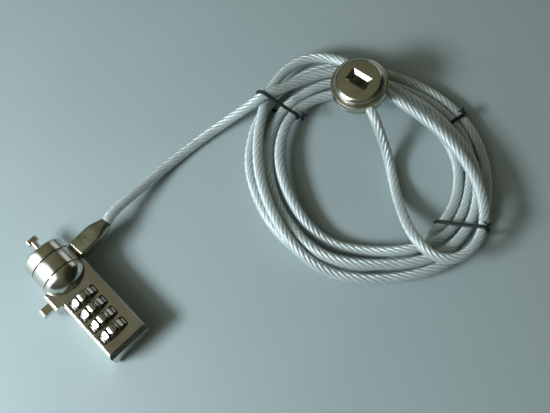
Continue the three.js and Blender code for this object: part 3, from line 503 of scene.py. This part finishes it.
def rounded(points, radius, steps=4):
    """A closed (u, v) outline with each corner rounded by its own radius."""
    out = []
    n = len(points)
    for i in range(n):
        p0, p1, p2 = (np.array(points[(i + k - 1) % n], float) for k in range(3))
        r = radius[i] if isinstance(radius, (list, tuple)) else radius
        if r <= 0:
            out.append(tuple(p1))
            continue
        a, b = p0 - p1, p2 - p1
        la, lb = np.linalg.norm(a), np.linalg.norm(b)
        a, b = a / la, b / lb
        ang = math.acos(max(-1, min(1, float(a @ b))))
        d = min(r / math.tan(ang / 2), la * 0.48, lb * 0.48)
        r = d * math.tan(ang / 2)
        c = p1 + (a + b) / np.linalg.norm(a + b) * (r / math.sin(ang / 2))
        s, e = p1 + a * d - c, p1 + b * d - c
        turn = math.atan2(s[0] * e[1] - s[1] * e[0], float(s @ e))
        for k in range(steps + 1):
            t = turn * k / steps
            out.append((c[0] + s[0] * math.cos(t) - s[1] * math.sin(t), c[1] + s[0] * math.sin(t) + s[1] * math.cos(t)))
    return out


def prism(bm, outline, lo, hi, axis="y", inset=0.0):
    """Pushes an outline along an axis; both ends get a small chamfer of that inset."""
    pts = np.array(outline, float)
    mid = (pts.max(0) + pts.min(0)) / 2
    half = (pts.max(0) - pts.min(0)) / 2
    small = mid + (pts - mid) * (1 - inset / half) if inset else pts
    rows = [(small, lo), (pts, lo + inset), (pts, hi - inset), (small, hi)] if inset else [(pts, lo), (pts, hi)]
    place = {"y": lambda u, v, w: (u, w, v), "z": lambda u, v, w: (u, v, w), "x": lambda u, v, w: (w, u, v)}[axis]
    rings = [[bm.verts.new(place(u, v, w)) for u, v in row] for row, w in rows]
    n = len(pts)
    for a, b in zip(rings, rings[1:]):
        for i in range(n):
            j = (i + 1) % n
            bm.faces.new((a[i], a[j], b[j], b[i]))
    bm.faces.new(list(reversed(rings[0])))
    bm.faces.new(rings[-1])
    return bm


def rect(x0, x1, z0, z1):
    return [(x0, z0), (x1, z0), (x1, z1), (x0, z1)]


def helper(bm):
    me = bpy.data.meshes.new("helper")
    bmesh.ops.recalc_face_normals(bm, faces=bm.faces)
    bm.to_mesh(me)
    bm.free()
    o = bpy.data.objects.new("helper", me)
    scene.collection.objects.link(o)
    return o


def combine(base, steps, bevel=0.0, segments=2, angle=35.0):
    """Joins and cuts closed shapes in millimetres, bevels the sharp edges, and gives back a bmesh."""
    o = helper(base)
    others = []
    for op, bm in steps:
        c = helper(bm)
        others.append(c)
        m = o.modifiers.new("b", "BOOLEAN")
        m.operation = op
        m.object = c
        m.solver = "EXACT"
    if bevel:
        w = o.modifiers.new("w", "WELD")
        w.merge_threshold = 0.002
        v = o.modifiers.new("v", "BEVEL")
        v.width = bevel
        v.segments = segments
        v.limit_method = "ANGLE"
        v.angle_limit = math.radians(angle)
        v.use_clamp_overlap = True
    bpy.context.view_layer.update()
    dg = bpy.context.evaluated_depsgraph_get()
    me = bpy.data.meshes.new_from_object(o.evaluated_get(dg))
    out = bmesh.new()
    out.from_mesh(me)
    for x in [o] + others:
        old = x.data
        bpy.data.objects.remove(x)
        bpy.data.meshes.remove(old)
    bpy.data.meshes.remove(me)
    return out


def drop_small(bm):
    bmesh.ops.remove_doubles(bm, verts=bm.verts, dist=1e-4)
    return bm


# ---------------------------------------------------------------- metals
nickel = metal("polished_nickel", (0.60, 0.585, 0.52), 0.13)
dial_mat = metal("bright_nickel", (0.68, 0.675, 0.645), 0.14, scratch=0.3)
barrel_mat = metal("turned_nickel", (0.64, 0.63, 0.57), 0.12, lathe=((0, 0, 0), (0, 0, 0), "BANDS", "Y", 1600.0), bump=0.10)
ferrule_mat = metal("crimped_nickel", (0.385, 0.375, 0.28), 0.20, scratch=0.4, wear=0.2, bump=0.12)
chrome = metal("hard_chrome", (0.60, 0.56, 0.50), 0.12)
# near-black metal for the dial grooves: painted shade where the grooves lie in shadow
groove_shade_mat = metal("dial_groove", (0.085, 0.08, 0.065), 0.45)
button_mat = metal("button_nickel", (0.58, 0.56, 0.48), 0.14)
disc_mat = metal("disc_nickel", (0.58, 0.57, 0.50), 0.14, bump=0.10)
steel = metal("machined_steel", (0.50, 0.51, 0.50), 0.32)
brass = metal("turned_brass", (0.40, 0.34, 0.20), 0.34)


def make_tie_material():
    m, nt, b = new_material("tie_black")
    b.inputs["Specular IOR Level"].default_value = 0.28
    tc = nt.nodes.new("ShaderNodeTexCoord")
    n = node(nt, "ShaderNodeTexNoise", Scale=600.0, Detail=4.0)
    nt.links.new(tc.outputs["Object"], n.inputs["Vector"])
    nt.links.new(ramp(nt, n.outputs["Fac"], [(0.3, (0.006, 0.012, 0.011)), (0.7, (0.016, 0.026, 0.024))]), b.inputs["Base Color"])
    nt.links.new(ramp(nt, n.outputs["Fac"], [(0.3, grey(0.55)), (0.7, grey(0.72))]), b.inputs["Roughness"])
    bp = node(nt, "ShaderNodeBump", Strength=0.2, Distance=0.00005)
    nt.links.new(n.outputs["Fac"], bp.inputs["Height"])
    nt.links.new(bp.outputs["Normal"], b.inputs["Normal"])
    return m


black = make_tie_material()

# ---------------------------------------------------------------- the head
X0, X1, Y0, Y1, Z0, Z1 = -8.5, 11.0, -19.5, 21.5, 1.5, 13.0
BL, BR = 1.15, 0.9
base = prism(bmesh.new(), rounded([(X0, Z0), (X1, Z0), (X1, Z1 - BR), (X1 - BR, Z1), (X0 + BL, Z1), (X0, Z1 - 0.92)], [0.3, 0.3, 0.12, 0.12, 0.12, 0.12], 3), Y0, Y1, "y", 0.0)
tab = prism(bmesh.new(), rounded([(-11.9, 3.5), (-7.0, 3.5), (-7.0, 13.0), (-11.9 + BL, 13.0), (-11.9, 13.0 - 0.92)], [0.3, 0, 0, 0.12, 0.12], 3), 11.8, 20.0, "y", 0.0)
rear = bmesh.new()
prism(rear, [(Y0 - 1, Z1 - 1.9 - 1), (Y0 + 1.9 + 1, Z1 + 1), (Y0 - 1, Z1 + 1)], -20, 20, "x")
steps = [("UNION", tab), ("DIFFERENCE", rear), ("DIFFERENCE", prism(bmesh.new(), rect(-7.35, 9.8, -1, 11.8), -17.9, 10.8))]
steps.append(("DIFFERENCE", prism(bmesh.new(), rect(-5, 9.8, -1, 11.6), 12.6, 17.4)))
steps.append(("DIFFERENCE", prism(bmesh.new(), rect(-13, -4.5, 5.9, 10.1), 13.9, 18.1)))


def round_at(r, y0, y1):
    """A round pocket on the barrel's axis."""
    return prism(bmesh.new(), [(r * math.cos(2 * math.pi * k / 40), AXIS_Z + r * math.sin(2 * math.pi * k / 40)) for k in range(40)], y0, y1, "y")


# room for the crank and for the T-bar's spindle
steps.append(("DIFFERENCE", round_at(5.2, 17.2, 19.1)))
steps.append(("DIFFERENCE", round_at(2.7, 18.9, 23.0)))
WHEELS = [7.9 - 6.27 * i for i in range(4)]
for y in WHEELS:
    steps.append(("DIFFERENCE", prism(bmesh.new(), rounded(rect(-6.45, 6.45, y - 2.4, y + 2.4), 0.9, 5), 11.0, 14.5, "z")))
shell = combine(base, steps, bevel=0.12)
put("head_shell", shell, [nickel], "housing", "housing_nickel", "lock_housing", angle=40, weighted=0.25)

# the dome that closes the barrel behind the collar, flat below where it meets the cover
R, DOME_Y = 10.2, 21.85
bm = bmesh.new()
DOME_DEPTH = 8.7
prof = [(R * math.cos(math.radians(a)), DOME_Y - 0.35 + (DOME_DEPTH - 0.35) * math.sin(math.radians(a))) for a in np.linspace(0, -90, 44)]
prof[-1] = (0.0, DOME_Y - DOME_DEPTH)
lathe(bm, [(0.0, DOME_Y), (R - 0.22, DOME_Y), (R - 0.06, DOME_Y - 0.07), (R, DOME_Y - 0.22)] + prof, 112, closed=False)
geom = bm.verts[:] + bm.edges[:] + bm.faces[:]
cut_edges = bmesh.ops.bisect_plane(bm, geom=geom, plane_co=(0, 0, 1.5), plane_no=(0, 0, -1), clear_outer=True)["geom_cut"]
bmesh.ops.contextual_create(bm, geom=[e for e in cut_edges if isinstance(e, bmesh.types.BMEdge)])
bm = combine(bm, [
    ("DIFFERENCE", prism(bmesh.new(), rect(-13, -1.6, 5.9, 10.1), 13.9, 18.1)),
    ("DIFFERENCE", prism(bmesh.new(), rect(-5, 9.8, -1, 11.6), 12.6, 17.4)),
    ("DIFFERENCE", round_at(5.2, 17.2, 19.1)),
    ("DIFFERENCE", round_at(2.7, 18.9, 23.0))], bevel=0.0)
put("barrel_dome", bm, [barrel_mat], "housing", "housing_nickel", angle=30)

# collar and cap: turned rings with broken edges
def ring_piece(name, y0, y1, r_in, r_out, lo, hi, body, slot, node_name, mat, extra=None):
    bm = bmesh.new()
    pts = rounded([(r_in, y0), (r_out, y0), (r_out, y1), (r_in, y1)], [0, lo, hi, 0], 5) if extra is None else extra
    lathe(bm, pts, 120)
    return put(name, bm, [mat], body, slot, node_name, angle=30)


ring_piece("turning_collar", 22.15, 29.45, 4.95, R, 0.22, 0.22, "root", "barrel_nickel", "swivel_collar", barrel_mat)
cap_profile = rounded(
    [(4.9, 29.75), (R, 29.75), (R, 34.6), (R - 0.8, 35.4), (4.1, 35.4), (3.8, 35.1), (2.95, 35.1), (2.75, 34.9), (2.75, 33.0), (4.9, 33.0)],
    [0, 0.22, 0.25, 0.25, 0.08, 0.05, 0.05, 0.08, 0, 0], 4)
ring_piece("nose_cap", 0, 0, 0, 0, 0, 0, "housing", "barrel_nickel", "front_cap", barrel_mat, cap_profile)

# ------------------------------------------------------------------ T-bar
bm = lathe(bmesh.new(), [(0, 19.15), (2.25, 19.15), (2.4, 19.3), (2.4, 34.7), (2.2, 34.9), (1.8, 34.9), (1.8, 38.5), (1.7, 38.8), (1.45, 38.85), (1.45, 42.2), (0, 42.2)], 56, closed=False)
head = combine(prism(bmesh.new(), rounded(rect(-2.7, 2.7, AXIS_Z - 1.3, AXIS_Z + 1.3), 1.15, 7), 42.0, 44.3, "y", 0.22), [], bevel=0.0)
me_head = bpy.data.meshes.new("t")
head.to_mesh(me_head)
head.free()
bm.from_mesh(me_head)
bpy.data.meshes.remove(me_head)
put("locking_tbar", bm, [chrome], "tbar", "tbar_chrome", "tbar_spindle", angle=40, weighted=0.5)

# ----------------------------------------------------------------- button
bm = combine(prism(bmesh.new(), rounded(rect(14.2, 17.8, 6.2, 9.8), 0.4, 4), -17.4, -8.6, "x", 0.2), [
    ("UNION", prism(bmesh.new(), rounded(rect(14.25, 17.0, 6.25, 9.75), 0.3, 3), -9.0, -4.9, "x", 0.0)),
    ("DIFFERENCE", prism(bmesh.new(), [(-18.6, 7.9), (-15.0, 10.75), (-18.6, 10.75)], 13, 19, "y"))], bevel=0.0)
put("push_button", bm, [button_mat], "button", "button_nickel", "release_button", angle=40, weighted=0.5)

# ------------------------------------------------------------------ wheels
def wheel(index, y):
    """Ten pillow-shaped lobes round a ring: nearly flat on top, with narrow grooves in painted shade and rounded
    corners.
    """
    bm = bmesh.new()
    seg, lobes, half, bore = 360, 10, 2.2, 4.3
    rows = []
    deep = {}
    for v in np.linspace(-1, 1, 27):
        row = []
        for i in range(seg):
            a = 2 * math.pi * i / seg
            u = (a * lobes / (2 * math.pi) + 0.5) % 1.0 * 2 - 1
            q = (abs(u) ** 3.4 + abs(v * 1.02) ** 3.4) ** (1 / 3.4)
            k = min(1.0, max(0.0, (q - 0.82) / 0.22))
            drop = LOBE_CROWN * u * u + 0.16 * v * v + 0.72 * k * k * (3 - 2 * k)
            r = 6.6 - drop
            row.append(bm.verts.new((r * math.sin(a), y + half * v, AXIS_Z + r * math.cos(a))))
            deep[row[-1]] = k
        rows.append(row)
    for end in (-1, 1):
        inner = [bm.verts.new((bore * math.sin(2 * math.pi * i / seg), y + half * end, AXIS_Z + bore * math.cos(2 * math.pi * i / seg))) for i in range(seg)]
        rows.insert(0 if end < 0 else len(rows), inner)
    rows.append(rows[0])
    for a, b in zip(rows, rows[1:]):
        for i in range(seg):
            j = (i + 1) % seg
            f = bm.faces.new((a[i], a[j], b[j], b[i]))
            # faces down in the grooves take the dark groove material, which is painted shade
            f.material_index = 1 if max(deep.get(w, 0.0) for w in f.verts) > 0.1 else 0
    return put("number_wheel_%d" % (index + 1), bm, [dial_mat, groove_shade_mat], "dial_%d_set" % (index + 1), "dial_nickel", "dial_%d" % (index + 1), angle=60)


LOBE_CROWN = 0.36
for i, y in enumerate(WHEELS):
    wheel(i, y)

# ----------------------------------------------------------------- ferrule
FT = math.radians(3.4)
FERRULE = Matrix.Translation(Vector((0, 25.6, AXIS_Z))) @ Matrix.Rotation(FT, 4, "Z")


def section(x, hy, hz, r, side=8, corner=7):
    """A rounded rectangle across the ferrule, always with the same number of points."""
    r = min(r, hy, hz)
    out = []
    for cy, cz, a0 in ((hy - r, hz - r, 0), (-hy + r, hz - r, 90), (-hy + r, -hz + r, 180), (hy - r, -hz + r, 270)):
        arc = [(cy + r * math.cos(math.radians(a0 + 90 * k / corner)), cz + r * math.sin(math.radians(a0 + 90 * k / corner))) for k in range(corner + 1)]
        out.append(arc)
    pts = []
    for i in range(4):
        arc, nxt = out[i], out[(i + 1) % 4]
        pts += arc
        p, q = arc[-1], nxt[0]
        pts += [(p[0] + (q[0] - p[0]) * k / side, p[1] + (q[1] - p[1]) * k / side) for k in range(1, side)]
    return [(x, y, z) for y, z in pts]


NS = 4 * (8 + 7)
bm = bmesh.new()
rows = [section(9.6, 2.6, 2.6, 2.6), section(10.44, 2.6, 2.6, 2.6)]
# flange, a thin groove, then the crimped body that narrows to the cable's mouth
rows += [section(10.46, 3.3, 3.0, 0.5), section(10.56, 3.5, 3.12, 0.6), section(11.48, 3.9, 3.5, 0.6), section(11.58, 3.86, 3.46, 0.6)]
rows += [section(11.6, 3.7, 3.25, 0.8), section(11.72, 3.7, 3.25, 0.8), section(11.74, 3.98, 3.38, 1.0), section(11.86, 4.06, 3.4, 1.1)]
for x in np.linspace(12.4, 19.8, 24):
    rows.append(section(x, 4.1, 3.4, 1.3))
rows += [section(20.8, 4.08, 3.4, 1.4), section(21.9, 3.98, 3.37, 1.6), section(23.2, 3.78, 3.3, 1.9), section(24.5, 3.52, 3.2, 2.2), section(25.7, 3.25, 3.07, 2.5), section(26.7, 3.05, 2.97, 2.75), section(27.5, 2.92, 2.9, 2.88), section(27.82, 2.82, 2.82, 2.82), section(27.9, 2.65, 2.65, 2.65), section(27.3, 2.52, 2.52, 2.52)]


def dent(p):
    """Two shallow press marks of the crimping tool in the top and the bottom."""
    x, y, z = p
    d = 0.0
    for cx, cy in ((15.2, 0.2),):
        d += 0.10 * math.exp(-(((x - cx) / 1.0) ** 2 + ((y - cy) / 0.9) ** 2))
    if abs(z) > 2.4 and 12.5 < x < 20:
        z -= math.copysign(d, z)
    return (x, y, z)


rows = [[dent(p) for p in row] for row in rows]
vr = [[bm.verts.new(p) for p in row] for row in rows]
for a, b in zip(vr, vr[1:]):
    for i in range(NS):
        j = (i + 1) % NS
        bm.faces.new((a[i], a[j], b[j], b[i]))
bm.faces.new(vr[0])
bm.faces.new(vr[-1])
put("crimped_ferrule", bm, [ferrule_mat], "root", "ferrule_nickel", "cable_ferrule", angle=34, matrix=FERRULE)

# ------------------------------------------------------------- anchor disc
A_AT, A_X, A_Y, A_N = (Vector(v) for v in ((151.0, -6.3, 14.3), (0.995003, 0, 0.0998447), (0.009727, 0.9952432, -0.0969346), (-0.0993698, 0.0974214, 0.9902700)))
DISC = Matrix.Translation(A_AT) @ Matrix((A_X, A_Y, A_N)).transposed().to_4x4()
SLOT_DIR = math.atan2(-0.991, 0.135)
PORT_DIR = math.radians(247)


def turn_z(profile, seg=128):
    """A closed shape turned about local Z from (radius, z) points that start and end on the axis."""
    bm = bmesh.new()
    lathe(bm, profile, seg, closed=False)
    # the lathe stands on the barrel axis: bring it to the origin, with its axis up
    bm.transform(Matrix.Rotation(math.pi / 2, 4, "X") @ Matrix.Translation(Vector((0, 0, -AXIS_Z))))
    return bm


base = turn_z(
    [(0, 0), (12.2, 0), (12.65, 0.15), (12.8, 0.5), (12.8, 1.9), (12.66, 2.05), (12.66, 2.2), (12.8, 2.35), (12.8, 5.5), (12.68, 5.8), (12.35, 5.98), (12.0, 6.0),
     (4.6, 6.0), (4.6, 1.4), (0, 1.4)])
port = bmesh.new()
bmesh.ops.create_cone(port, cap_ends=True, segments=40, radius1=2.8, radius2=2.8, depth=14.6)
port.transform(Matrix.Rotation(PORT_DIR, 4, "Z") @ Matrix.Translation(Vector((12.7, 0, 3.0))) @ Matrix.Rotation(math.pi / 2, 4, "Y"))
bm = combine(base, [("DIFFERENCE", port)])
put("anchor_body", drop_small(bm), [disc_mat], "root", "anchor_nickel", "anchor_base", angle=30, matrix=DISC, weighted=1.2)

cap = turn_z([(0, 6.3), (11.25, 6.3), (11.4, 6.45), (11.4, 7.95), (11.28, 8.15), (11.02, 8.28), (10.98, 8.5), (10.9, 8.62), (9.75, 9.6), (9.45, 9.7), (0, 9.7)])


def frustum(l0, w0, z0, l1, w1, z1, r0, r1, grow=0.0):
    bm = bmesh.new()
    a = rounded([(-l0 / 2, -w0 / 2), (l0 / 2, -w0 / 2), (l0 / 2, w0 / 2), (-l0 / 2, w0 / 2)], r0, 4)
    b = rounded([(-l1 / 2, -w1 / 2), (l1 / 2, -w1 / 2), (l1 / 2, w1 / 2), (-l1 / 2, w1 / 2)], r1, 4)
    va = [bm.verts.new((x, y, z0)) for x, y in a]
    vb = [bm.verts.new((x, y, z1)) for x, y in b]
    for i in range(len(va)):
        j = (i + 1) % len(va)
        bm.faces.new((va[i], va[j], vb[j], vb[i]))
    bm.faces.new(list(reversed(va)))
    bm.faces.new(vb)
    bm.transform(Matrix.Rotation(SLOT_DIR, 4, "Z"))
    return bm


pocket = frustum(7.4, 3.4, 8.1, 10.95, 7.06, 9.84, 0.3, 0.6)
slot = frustum(7.4, 3.4, 5.0, 7.4, 3.4, 9.0, 0.3, 0.3)
bm = combine(cap, [("DIFFERENCE", pocket), ("DIFFERENCE", slot)])
put("anchor_top", drop_small(bm), [disc_mat], "root", "anchor_nickel", "anchor_cap", angle=30, matrix=DISC, weighted=1.2)

# -------------------------------------------------------------------- ties
ALONG_STEP = float(along[1] - along[0])


def tie(name, p, q, knot, node_name, width=1.9, twist=0.6):
    """A plastic coated wire pulled tight round the strands where the vertical plane p-q crosses them."""
    p, q = np.array(p, float), np.array(q, float)
    u = (q - p) / np.linalg.norm(q - p)
    w = np.array([-u[1], u[0]])
    mid = (p + q) / 2
    reach = np.linalg.norm(q - p) / 2 + 1.5
    rel = path[:, :2] - mid
    across, off = rel @ u, rel @ w
    pts = []
    for i in range(len(path) - 1):
        if off[i] * off[i + 1] <= 0 and abs(across[i]) < reach + 2.0:
            t = off[i] / (off[i] - off[i + 1]) if off[i] != off[i + 1] else 0
            c = path[i] + t * (path[i + 1] - path[i])
            s = float((c[:2] - mid) @ u)
            if abs(s) > reach:
                continue
            d = tan[i]
            # a strand crossed at a slant is cut as an oval
            k = 1.0 / max(0.35, abs(float(d[:2] @ w)) / max(1e-6, np.linalg.norm(d[:2])))
            for a in np.linspace(0, 2 * math.pi, 24, endpoint=False):
                pts.append((s + CABLE_D / 2 * min(k, 1.5) * math.cos(a), float(c[2]) + CABLE_D / 2 * math.sin(a)))
    pts = sorted(set((round(a, 4), round(b, 4)) for a, b in pts))

    def half(seq):
        h = []
        for pt in seq:
            while len(h) > 1 and (h[-1][0] - h[-2][0]) * (pt[1] - h[-2][1]) - (h[-1][1] - h[-2][1]) * (pt[0] - h[-2][0]) <= 0:
                h.pop()
            h.append(pt)
        return h

    low, high = half(pts), half(pts[::-1])
    hull = np.array(low[:-1] + high[:-1])
    seg = np.linalg.norm(np.roll(hull, -1, 0) - hull, axis=1)
    ss = np.r_[0, np.cumsum(seg)]
    n = 96
    tt_ = np.linspace(0, ss[-1], n, endpoint=False)
    loop = np.vstack([hull, hull[:1]])
    ring = np.stack([np.interp(tt_, ss, loop[:, k]) for k in range(2)], 1)
    for _ in range(2):
        ring = (np.roll(ring, 1, 0) + 2 * ring + np.roll(ring, -1, 0)) / 4
    tg = np.roll(ring, -1, 0) - np.roll(ring, 1, 0)
    tg /= np.linalg.norm(tg, axis=1)[:, None]
    out = np.stack([tg[:, 1], -tg[:, 0]], 1)
    ring = ring + out * 0.42
    ring[:, 1] = np.maximum(ring[:, 1], 0.36)
    bm = bmesh.new()
    # the flat wire's own section: a ribbon with a thicker core down its middle
    sec = [(-1, -0.16), (-0.62, -0.24), (-0.3, -0.24), (0, -0.3), (0.3, -0.24), (0.62, -0.24), (1, -0.16), (1, 0.14), (0.62, 0.2), (0.3, 0.26), (0, 0.52), (-0.3, 0.26), (-0.62, 0.2), (-1, 0.14)]
    rows = []
    for i in range(n):
        lean = 0.5 * math.sin(2 * math.pi * i / n)
        row = []
        for a, b in sec:
            r2 = ring[i] + out[i] * b
            along_w = a * width / 2 + lean
            xy = mid + u * r2[0] + w * along_w
            row.append(bm.verts.new((xy[0], xy[1], max(0.06, r2[1]))))
        rows.append(row)
    m = len(sec)
    for i in range(n):
        a, b = rows[i], rows[(i + 1) % n]
        for k in range(m):
            bm.faces.new((a[k], b[k], b[(k + 1) % m], a[(k + 1) % m]))
    # the twisted ends, standing on the loop
    # at that share of the way across, on top of the loop
    ks = (knot - 0.5) * np.linalg.norm(q - p)
    top = ring[ring[:, 1] > ring[:, 1].mean()]
    kz = float(top[np.argmin(abs(top[:, 0] - ks)), 1]) + 0.85
    kx, ky = mid + u * ks
    for sgn in (1, -1):
        rows = []
        L = 7.0 * twist
        for i in range(29):
            t = i / 28
            ang = sgn * math.pi / 2 + t * 2.6 * math.pi * twist
            spread = 0.55 * (1 - 0.0 * t) if t < 0.82 else 0.55 + (t - 0.82) * 6.0
            c = np.array([kx, ky, kz]) + np.array([w[0], w[1], 0.0]) * (t - 0.5) * L * 0.9 + np.array([u[0], u[1], 0.0]) * spread * math.cos(ang) + np.array([0, 0, 1.0]) * (spread * math.sin(ang) if t < 0.82 else 0.55 * math.sin(ang))
            rows.append(c)
        rows = np.array(rows)
        e0, e1, e2 = frames(rows)
        vv, ff, _ = tube_arrays(rows, e1, e2, 0.62, 0.40, 10, np.arange(len(rows)))
        vs = [bm.verts.new(tuple(x)) for x in vv]
        for f in ff:
            bm.faces.new([vs[int(x)] for x in f])
        bm.faces.new([vs[x] for x in range(10)])
        bm.faces.new([vs[len(vs) - 10 + x] for x in range(10)])
    print(name, "strands", len(pts) // 24, "hull", ring.min(0), ring.max(0))
    return put(name, bm, [black], "root", "tie_plastic", node_name, angle=50)


tie("wire_tie_1", (118.6, 21.4), (125.6, 2.2), 0.92, "tie_1", 1.55)
tie("wire_tie_2", (170.2, -44.6), (183.0, -46.4), 0.75, "tie_2", 1.55)
tie("wire_tie_3", (133.2, -73.0), (144.0, -93.2), 0.8, "tie_3", 1.55)

# ------------------------------------------------------- carried-over nodes
INNER = {
    "bottom_cover": nickel, "cover_screw_1": steel, "cover_screw_2": steel, "clutch_sleeve_1": brass, "clutch_sleeve_2": brass,
    "clutch_sleeve_3": brass, "clutch_sleeve_4": brass, "dial_shaft": steel, "detent_spring": steel, "swivel_sleeve": steel,
    "spindle_crank": steel, "release_slider": steel, "button_spring": steel, "anchor_crimp": steel,
}
for n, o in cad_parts.items():
    if n in INNER:
        o.data.materials.clear()
        o.data.materials.append(INNER[n])
# ------------------------------------------------------------ floor, lights
def floor():
    me = bpy.data.meshes.new("floor")
    s = 6.0
    me.from_pydata([(-s, -s, 0), (s, -s, 0), (s, s, 0), (-s, s, 0)], [], [(0, 1, 2, 3)])
    o = bpy.data.objects.new("floor", me)
    scene.collection.objects.link(o)
    o.location.z = -0.00002
    m, nt, b = new_material("desk_top")
    tc = nt.nodes.new("ShaderNodeTexCoord")
    n = node(nt, "ShaderNodeTexNoise", Scale=18.0, Detail=3.0)
    nt.links.new(tc.outputs["Object"], n.inputs["Vector"])
    nt.links.new(ramp(nt, n.outputs["Fac"], [(0.3, (0.335, 0.412, 0.418)), (0.7, (0.350, 0.428, 0.434))]), b.inputs["Base Color"])
    b.inputs["Roughness"].default_value = 0.6
    me.materials.append(m)
    return o


floor()


def area(name, where, target, size, watts, color):
    d = bpy.data.lights.new(name, "AREA")
    d.shape = "RECTANGLE"
    d.size, d.size_y = size
    d.energy = watts
    d.color = color
    o = bpy.data.objects.new(name, d)
    scene.collection.objects.link(o)
    o.location = where
    v = Vector(target) - Vector(where)
    o.rotation_euler = v.to_track_quat("-Z", "Y").to_euler()
    return o


IMG_R = Vector((0.714473, -0.699663, 0.0))
IMG_U = Vector((0.699663, 0.714473, 0.0))
MID = Vector((0.0878, -0.0161, 0.0))


def from_image(r, u, z):
    return MID + IMG_R * r + IMG_U * u + Vector((0, 0, z))


area("window", from_image(-0.52, -0.265, 0.345), MID, (0.46, 0.80), 1.95, (0.88, 0.95, 1.0))
area("bright_sky", from_image(-0.42, -0.21, 0.325), MID, (0.20, 0.11), 3.5, (0.86, 0.94, 1.0))
area("far_wall", from_image(0.42, 0.68, 0.30), MID, (0.55, 0.36), 0.42, (1.0, 1.0, 0.95))

world = bpy.data.worlds.new("world")
scene.world = world
world.use_nodes = True
wt = world.node_tree
bg = wt.nodes["Background"]
wc = wt.nodes.new("ShaderNodeTexCoord")
sky = node(wt, "ShaderNodeVectorMath", operation="DOT_PRODUCT")
wt.links.new(wc.outputs["Generated"], sky.inputs[0])
sky.inputs[1].default_value = (0, 0, 1)
side = node(wt, "ShaderNodeVectorMath", operation="DOT_PRODUCT")
wt.links.new(wc.outputs["Generated"], side.inputs[0])
side.inputs[1].default_value = tuple(IMG_R * 0.93 + IMG_U * 0.1 + Vector((0, 0, 0.35)))
high = ramp(wt, sky.outputs["Value"], [(0.0, (0.060, 0.070, 0.062)), (0.45, (0.085, 0.095, 0.072)), (0.85, (0.165, 0.163, 0.103)), (1.0, (0.165, 0.163, 0.103))])
dark = ramp(wt, side.outputs["Value"], [(0.0, (1, 1, 1)), (0.45, (0.9, 0.9, 0.9)), (0.72, (0.25, 0.26, 0.24)), (1.0, (0.15, 0.16, 0.15))])
mul = node(wt, "ShaderNodeMix", data_type="RGBA", blend_type="MULTIPLY")
mul.inputs[0].default_value = 1.0
wt.links.new(high, mul.inputs[6])
wt.links.new(dark, mul.inputs[7])
wt.links.new(mul.outputs[2], bg.inputs["Color"])
bg.inputs["Strength"].default_value = 1.0
